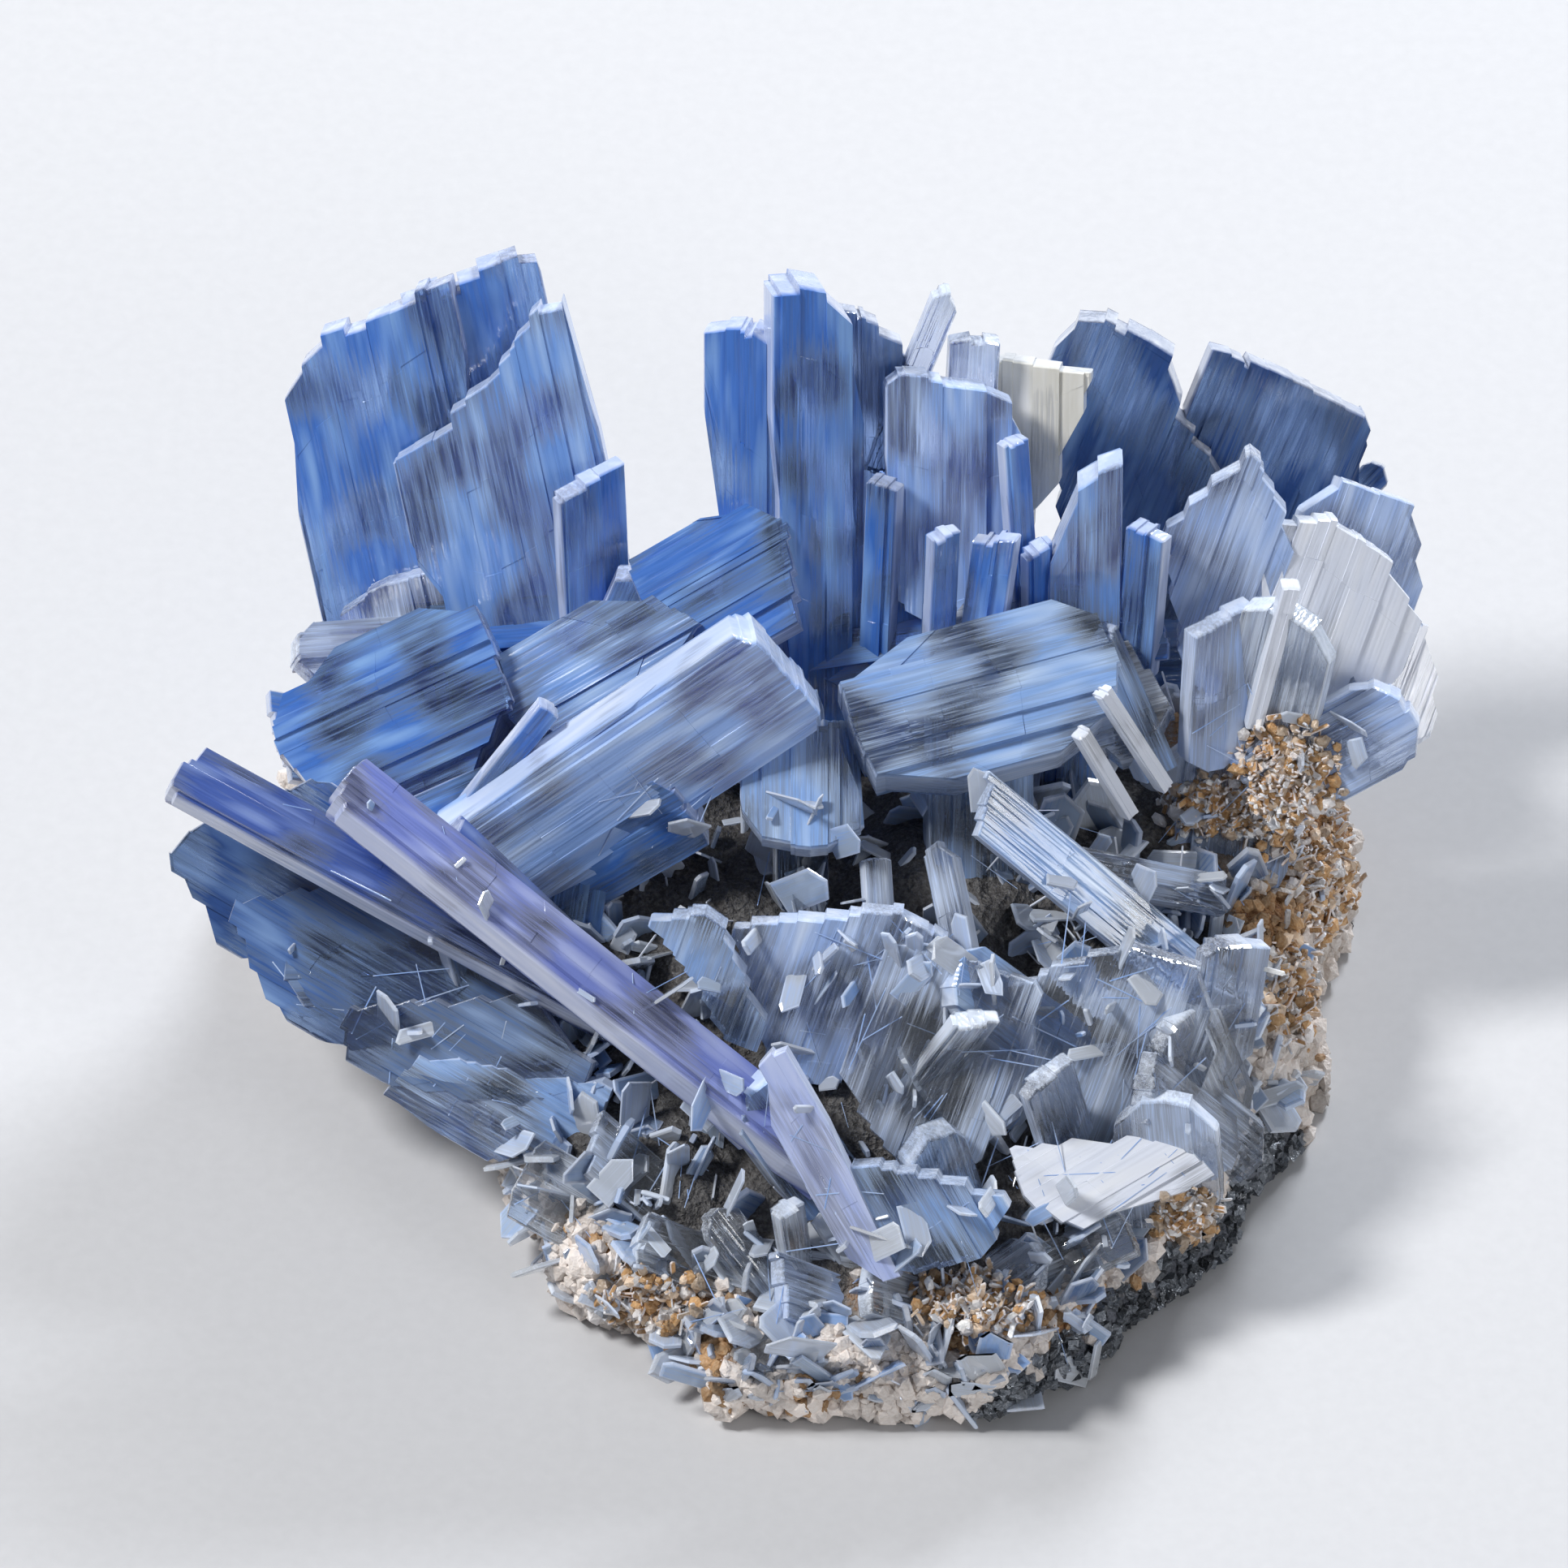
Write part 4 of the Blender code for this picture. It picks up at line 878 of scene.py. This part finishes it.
def rock_material():
    """Cream and pinkish rock with orange-brown iron stains, dark granular bands, and gaps between the
    crystals painted near-black as shade.
    """
    graph = Graph("matrix_rock")
    place = graph.attribute("place", "Vector")
    zone = graph.attribute("tone", "Color")
    orange, black, inside = (graph.node("SeparateColor", {0: zone}, channel) for channel in range(3))
    mottle = graph.noise(place, 0.35, 2.0, 0.6)
    speck = graph.noise(place, 2.8, 2.0, 0.7)
    crumbs = graph.cells(place, 1.7)
    cream = graph.mix(graph.range(mottle, 0.35, 0.65), (0.60, 0.50, 0.42, 1), (0.74, 0.68, 0.63, 1))
    cream = graph.mix(graph.range(speck, 0.50, 0.72), cream, (0.86, 0.82, 0.78, 1))
    cream = graph.mix(graph.range(crumbs, 0.0, 0.22, 0.45, 0.0), cream, (0.24, 0.17, 0.12, 1))
    rust = graph.mix(graph.range(speck, 0.35, 0.68), (0.20, 0.08, 0.025, 1), (0.55, 0.30, 0.13, 1))
    ragged = graph.math("ADD", orange, graph.range(speck, 0.3, 0.7, -0.35, 0.35), clamp=True)
    colour = graph.mix(graph.range(ragged, 0.25, 0.75), cream, rust)
    # Painted shade: the rock between the crystals turns near-black as the interior share grows.
    painted_shade_colour = graph.mix(graph.range(speck, 0.40, 0.70), (0.010, 0.013, 0.018, 1), (0.07, 0.07, 0.07, 1))
    colour = graph.mix(graph.range(inside, 0.1, 0.8, 0.0, 0.92), colour, painted_shade_colour)
    metal = graph.mix(graph.range(crumbs, 0.1, 0.5), (0.03, 0.033, 0.04, 1), (0.16, 0.17, 0.20, 1))
    dark = graph.range(black, 0.35, 0.6)
    graph.shade("Base Color", graph.mix(dark, colour, metal))
    graph.shade("Metallic", graph.math("MULTIPLY", dark, 0.3))
    graph.shade("Roughness", graph.range(speck, 0.3, 0.7, 0.85, 0.45))
    height = graph.math("ADD", speck, graph.math("MULTIPLY", crumbs, 0.8))
    graph.shade("Normal", graph.bump(height, 0.35))
    return graph.material


def turned_towards(direction, spread, chance):
    """A direction near the given one."""
    wander = Vector([chance.gauss(0, spread) for _ in range(3)])
    return (direction + wander).normalized()


def lump(pile, centre, size, squash, tone, chance):
    """A small angular grain with twelve corners."""
    golden = (1 + 5**0.5) / 2
    corners = [
        (-1, golden, 0), (1, golden, 0), (-1, -golden, 0), (1, -golden, 0),
        (0, -1, golden), (0, 1, golden), (0, -1, -golden), (0, 1, -golden),
        (golden, 0, -1), (golden, 0, 1), (-golden, 0, -1), (-golden, 0, 1),
    ]
    sides = (
        (0, 11, 5), (0, 5, 1), (0, 1, 7), (0, 7, 10), (0, 10, 11), (1, 5, 9), (5, 11, 4),
        (11, 10, 2), (10, 7, 6), (7, 1, 8), (3, 9, 4), (3, 4, 2), (3, 2, 6), (3, 6, 8),
        (3, 8, 9), (4, 9, 5), (2, 4, 11), (6, 2, 10), (8, 6, 7), (9, 8, 1),
    )
    turn = Matrix.Rotation(chance.uniform(0, 6.28), 3, Vector([chance.gauss(0, 1) for _ in range(3)]))
    stretch = [chance.uniform(1 - squash, 1 + squash) for _ in range(3)]
    points = []
    for corner in corners:
        arm = Vector([c * s for c, s in zip(corner, stretch)]) * (size / 1.9 * chance.uniform(0.8, 1.2))
        points.append(centre + turn @ arm)
    pile.add(points, [list(side) for side in sides], [point[:] for point in points], [tone] * len(points))


def cube(pile, centre, size, tone, chance):
    """A small cubic grain with its corners a little uneven."""
    turn = Matrix.Rotation(chance.uniform(0, 6.28), 3, Vector([chance.gauss(0, 1) for _ in range(3)]))
    points = []
    for x in (-1, 1):
        for y in (-1, 1):
            for z in (-1, 1):
                points.append(centre + turn @ (Vector((x, y, z)) * (size / 2 * chance.uniform(0.85, 1.1))))
    faces = [[0, 1, 3, 2], [4, 6, 7, 5], [0, 4, 5, 1], [2, 3, 7, 6], [0, 2, 6, 4], [1, 5, 7, 3]]
    pile.add(points, faces, [point[:] for point in points], [tone] * len(points))


def grain_material(name, roughness, metallic=0.0):
    """Grains whose colour is their tone, each a little different, with a rough sparkling skin."""
    graph = Graph(name)
    place = graph.attribute("place", "Vector")
    tone = graph.attribute("tone", "Color")
    speck = graph.noise(place, 3.4, 1.0, 0.7)
    graph.shade("Base Color", graph.mix(graph.range(speck, 0.35, 0.7), tone, graph.gamma(tone, 0.7)))
    graph.shade("Roughness", graph.range(speck, 0.3, 0.7, roughness + 0.15, roughness - 0.1))
    graph.shader.inputs["Metallic"].default_value = metallic
    graph.shade("Normal", graph.bump(speck, 0.12))
    return graph.material


# How many places of the rock's rim get a grain, the sizes of each kind, and the colours of the rusty and pale
# ones.
GRAIN_PLACES = 9000
DARK_GRAIN = (0.35, 0.85)
RUSTY_GRAIN = (0.2, 0.7)
PALE_GRAIN = (0.25, 0.95)
RUST_COLOUR = (0.42, 0.235, 0.105)
CREAM_COLOUR = (0.74, 0.66, 0.60)


def strew_grains(spots):
    """Cream, rusty and dark grains that sit on the rock's rim."""
    chance = random.Random(71)
    pale, rust, dark = Pile(), Pile(), Pile()
    for spot, normal, zone in chance.sample(spots, min(len(spots), GRAIN_PLACES)):
        orange, black, inside, _ = zone
        if inside > 0.5:
            continue
        if black > 0.45:
            size = chance.uniform(*DARK_GRAIN)
            shade = chance.uniform(0.03, 0.20)
            cube(dark, spot + normal * size * 0.15, size, (shade, shade * 1.1, shade * 1.25, 1), chance)
        elif chance.random() < orange * 0.9 + noise.noise(spot / 6.0) - 0.12:
            size = chance.uniform(*RUSTY_GRAIN)
            glow = chance.uniform(0.5, 1.3)
            tone = (*[value * glow for value in RUST_COLOUR], 1)
            lump(rust, spot + normal * size * 0.1, size, 0.3, tone, chance)
        elif chance.random() < 0.75:
            size = chance.uniform(*PALE_GRAIN)
            glow = chance.uniform(0.7, 1.1) + noise.noise(spot / 4.0) * 0.45
            tone = (*[value * glow for value in CREAM_COLOUR], 1)
            lump(pale, spot + normal * size * 0.1, size, 0.35, tone, chance)
    pale.make("pale_rock_grains", grain_material("pale_rock_grains", 0.45), "matrix_rock")
    rust.make("rusty_rock_grains", grain_material("rusty_rock_grains", 0.6), "matrix_rock")
    dark.make("dark_rock_grains", grain_material("dark_rock_grains", 0.28, 0.6), "matrix_rock")


# The crusts of small blades and needles: how many places of the rock are tried, the share of them
# that get one along the front and further in, the lengths, and the share that are needles.
BLADE_PLACES = 6500
FRONT_CRUST_KIND = {"share": 0.20, "lift": 0.45, "length": (1.4, 5.0), "needles": 0.1}
INNER_CRUST_KIND = {"share": 0.32, "lift": 0.8, "length": (1.5, 6.0), "needles": 0.25}
CRUST_TONES = ("glass", "clear", "haze", "smoke")


def strew_blades(spots):
    """Crusts of small clear blades and needles between the crystals and along the front."""
    chance = random.Random(23)
    crust, needles = Pile(), Pile()
    up = Vector((0, -0.3, 1))
    for spot, normal, zone in chance.sample(spots, min(len(spots), BLADE_PLACES)):
        _, black, inside, _ = zone
        front = view_place(spot)[1] < 2 and spot.z < 14
        if black > 0.3 or (not front and inside < 0.3) or spot.z < 2.5:
            continue
        kind = FRONT_CRUST_KIND if front else INNER_CRUST_KIND
        if chance.random() > kind["share"]:
            continue
        along = turned_towards(normal * kind["lift"] + up * 0.5, 0.65, chance)
        facing = turned_towards(Vector((0, 0, 1)), 1.0, chance)
        length = chance.uniform(*kind["length"])
        if chance.random() < kind["needles"]:
            small_blade(needles, spot - along * 0.3, along, facing, length * 0.9, 0.14, 0.12,
                        TONES["white"], chance)
        else:
            tone = TONES[chance.choice(CRUST_TONES)]
            small_blade(crust, spot - along * 0.5, along, facing, length, length * chance.uniform(0.3, 0.7),
                        chance.uniform(0.25, 0.6), tone, chance)
    crust.make("fine_crystal_crust", barite_material("fine_crystal_crust", "small", 0.1),
               "front_crust_crystals")
    needles.make("fine_needles", barite_material("fine_needles", "small", 0.2), "front_crust_crystals")


# Where fibres and small crystals lie on the larger crystals: (left, low, right, high) boxes in the
# view's plane, with how many of each there are and how large the small crystals get.
OVERGROWN = (
    ((0, -12, 32, 14), 110, 26, 1.3),
    ((-34, -8, 2, 8), 50, 26, 1.8),
    ((-18, -22, 22, -6), 30, 60, 1.8),
    ((-12, 8, 30, 22), 40, 60, 2.0),
    ((28, 8, 42, 30), 20, 20, 1.2),
    ((-40, 4, -10, 22), 25, 10, 1.0),
)
FIBRE_LENGTH = (1.5, 7.0)
FIBRE_WIDTH = (0.05, 0.10)
FIBRE_THICK = 0.06
YOUNG_LENGTH = (0.7, 2.8)
YOUNG_TONES = ("glass", "clear", "haze", "clear")

# Rusty crusts of fine crystals, as (across, up, half width, half height) and how many grains.
RUSTY_CRUSTS = (
    (35.5, 22.5, 4.5, 5.5, 900), (30.5, 21.0, 4.5, 2.6, 400), (38.5, 15.5, 3.0, 4.5, 400),
    (-11, -14.5, 4.5, 2.6, 380), (12.5, -14.5, 5.0, 2.6, 460), (28, -8.5, 3.0, 2.2, 260),
    (36, 8, 2.5, 5.0, 300),
)
STAINS = ((0.42, (0.46, 0.25, 0.10)), (0.74, (0.62, 0.46, 0.32)), (1.0, (0.78, 0.74, 0.72)))


def surface_tree():
    """The surfaces of all the pieces so far, for rays."""
    corners, faces = [], []
    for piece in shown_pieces():
        first = len(corners)
        corners += [vert.co.copy() for vert in piece.data.vertices]
        faces += [[first + corner for corner in face.vertices] for face in piece.data.polygons]
    return BVHTree.FromPolygons(corners, faces)


def seen_spot(tree, across, up):
    """Where the view's line through a place of the view's plane meets the cluster, in millimetres."""
    start = (in_view(across, up, 200) + VIEW_ORIGIN) * MM
    spot, normal, _, _ = tree.ray_cast(start, in_view(0, 0, -1))
    if spot is None or spot.z < 0.0005:
        return None, None
    return spot / MM, normal


def overgrow(tree):
    """Thin fibres that lie across the crystals, and small crystals grown on them."""
    chance = random.Random(5)
    fibres, young = Pile(), Pile()
    towards = in_view(0, 0, 1)
    for (left, low, right, high), fibre_count, blade_count, largest in OVERGROWN:
        for _ in range(fibre_count):
            across, up = chance.uniform(left, right), chance.uniform(low, high)
            angle, reach = chance.gauss(0.9, 0.8), chance.uniform(*FIBRE_LENGTH)
            start, _ = seen_spot(tree, across, up)
            end, _ = seen_spot(tree, across + math.cos(angle) * reach, up + math.sin(angle) * reach)
            if start is None or end is None or (end - start).length > reach * 1.25:
                continue
            along = (end - start).normalized()
            small_blade(fibres, start, along, towards, (end - start).length, chance.uniform(*FIBRE_WIDTH),
                        FIBRE_THICK, TONES["light"], chance)
        for _ in range(blade_count):
            spot, normal = seen_spot(tree, chance.uniform(left, right), chance.uniform(low, high))
            if spot is None:
                continue
            along = turned_towards(normal * 0.5 + Vector((0, 0, 0.3)), 0.9, chance)
            if along.dot(normal) < 0:
                along.negate()
            length = chance.uniform(*YOUNG_LENGTH) * largest
            tone = TONES[chance.choice(YOUNG_TONES)]
            facing = turned_towards(normal, 0.9, chance)
            small_blade(young, spot - along * length * 0.3, along, facing, length,
                        length * chance.uniform(0.25, 0.6), chance.uniform(0.15, 0.4),
                        tone, chance)
    fibres.make("white_fibres", barite_material("white_fibres", "small", 0.2), "lower_clear_plates")
    young.make("young_crystals", barite_material("young_crystals", "small", 0.1), "lower_clear_plates")


def rusty_crusts(tree):
    """Iron-stained crusts of grains and short blades that cover parts of the crystals and the rock."""
    chance = random.Random(9)
    crust = Pile()
    for across, up, wide, tall, count in RUSTY_CRUSTS:
        for _ in range(count):
            place = chance.gauss(0, 0.45), chance.gauss(0, 0.45)
            if math.hypot(*place) > 1:
                continue
            spot, normal = seen_spot(tree, across + wide * place[0], up + tall * place[1])
            if spot is None:
                continue
            glow = chance.uniform(0.5, 1.4)
            draw = chance.random()
            stain = next(colour for share, colour in STAINS if draw < share)
            tone = (*[min(value * glow, 0.9) for value in stain], 0.6)
            size = chance.uniform(0.2, 0.65)
            if chance.random() < 0.6:
                along = turned_towards(normal + Vector((0, 0, 0.5)), 0.7, chance)
                facing = turned_towards(normal, 0.9, chance)
                small_blade(crust, spot - along * size * 0.4, along, facing,
                            size * chance.uniform(1.5, 3.4), size * 0.7, size * 0.35,
                            tone, chance)
            else:
                lump(crust, spot + normal * size * 0.15, size, 0.35, tone, chance)
    crust.make("rusty_crystal_crust", grain_material("rusty_crystal_crust", 0.35), "matrix_rock")


FLOOR_HALF = 4.0
FLOOR_COLOURS = ((0.55, 0.55, 0.56, 1), (0.60, 0.60, 0.61, 1))

# The lights: name, place, size, power and colour, in the frame's metres and in watts.
LIGHTS = (
    ("key_light", (-0.50, -0.05, 0.70), 0.20, 6.5, (1, 1, 1)),
    ("back_light", (0.30, 0.60, 0.45), 0.22, 5.5, (0.90, 0.94, 1.0)),
    ("fill_light", (0.60, -0.55, 0.40), 0.30, 1.6, (1, 1, 1)),
)
LIT_HEIGHT = 0.02
STUDIO_COLOUR = (0.80, 0.84, 0.92, 1)
STUDIO_STRENGTH = 0.26


def make_floor():
    """A wide pale floor with a faint grain. It is made last, because absorbing crystals that are made
    after it render black."""
    mesh = bpy.data.meshes.new("floor")
    corners = [(x * FLOOR_HALF, y * FLOOR_HALF, 0) for x, y in ((-1, -1), (1, -1), (1, 1), (-1, 1))]
    mesh.from_pydata(corners, [], [[0, 1, 2, 3]])
    floor = bpy.data.objects.new("floor", mesh)
    bpy.context.scene.collection.objects.link(floor)
    graph = Graph("floor")
    coords = graph.node("TexCoord", {}, "Object")
    graph.shade("Base Color", graph.mix(graph.noise(coords, 900.0, 2.0), *FLOOR_COLOURS))
    graph.shader.inputs["Roughness"].default_value = 0.7
    mesh.materials.append(graph.material)


def make_light(name, place, size, power, colour):
    """A round soft light that points at the cluster."""
    light = bpy.data.lights.new(name, "AREA")
    light.shape = "DISK"
    light.size = size
    light.energy = power
    light.color = colour
    lamp = bpy.data.objects.new(name, light)
    lamp.location = place
    lamp.rotation_mode = "QUATERNION"
    lamp.rotation_quaternion = (Vector((0, 0, LIT_HEIGHT)) - Vector(place)).to_track_quat("-Z", "Y")
    bpy.context.scene.collection.objects.link(lamp)


def make_lights():
    """The plain soft studio light."""
    for light in LIGHTS:
        make_light(*light)
    world = bpy.data.worlds.new("studio")
    bpy.context.scene.world = world
    world.use_nodes = True
    background = world.node_tree.nodes["Background"]
    background.inputs["Color"].default_value = STUDIO_COLOUR
    background.inputs["Strength"].default_value = STUDIO_STRENGTH
    bpy.context.scene.view_settings.view_transform = "Standard"


def make_camera():
    """The camera looks along the view plane's normal, and frames the cluster as the photograph does."""
    camera = bpy.data.objects.new("camera", bpy.data.cameras.new("camera"))
    bpy.context.scene.collection.objects.link(camera)
    back = in_view(0, 0, 1)
    middle = IMAGE / 2
    target = in_view((middle - ORIGIN_PIXEL[0]) * PIXEL, (ORIGIN_PIXEL[1] - middle) * PIXEL, 0)
    camera.location = (target + VIEW_ORIGIN) * MM + back * CAMERA_DISTANCE
    camera.rotation_mode = "QUATERNION"
    camera.rotation_quaternion = (-back).to_track_quat("-Z", "Y")
    camera.data.sensor_width = SENSOR
    camera.data.lens = SENSOR * CAMERA_DISTANCE / (IMAGE * PIXEL * MM)
    bpy.context.scene.camera = camera


make_camera()
make_lights()
dress_sprays()
rock_spots = make_rock()
strew_grains(rock_spots)
strew_blades(rock_spots)
grown_surfaces = surface_tree()
overgrow(grown_surfaces)
rusty_crusts(grown_surfaces)
make_floor()
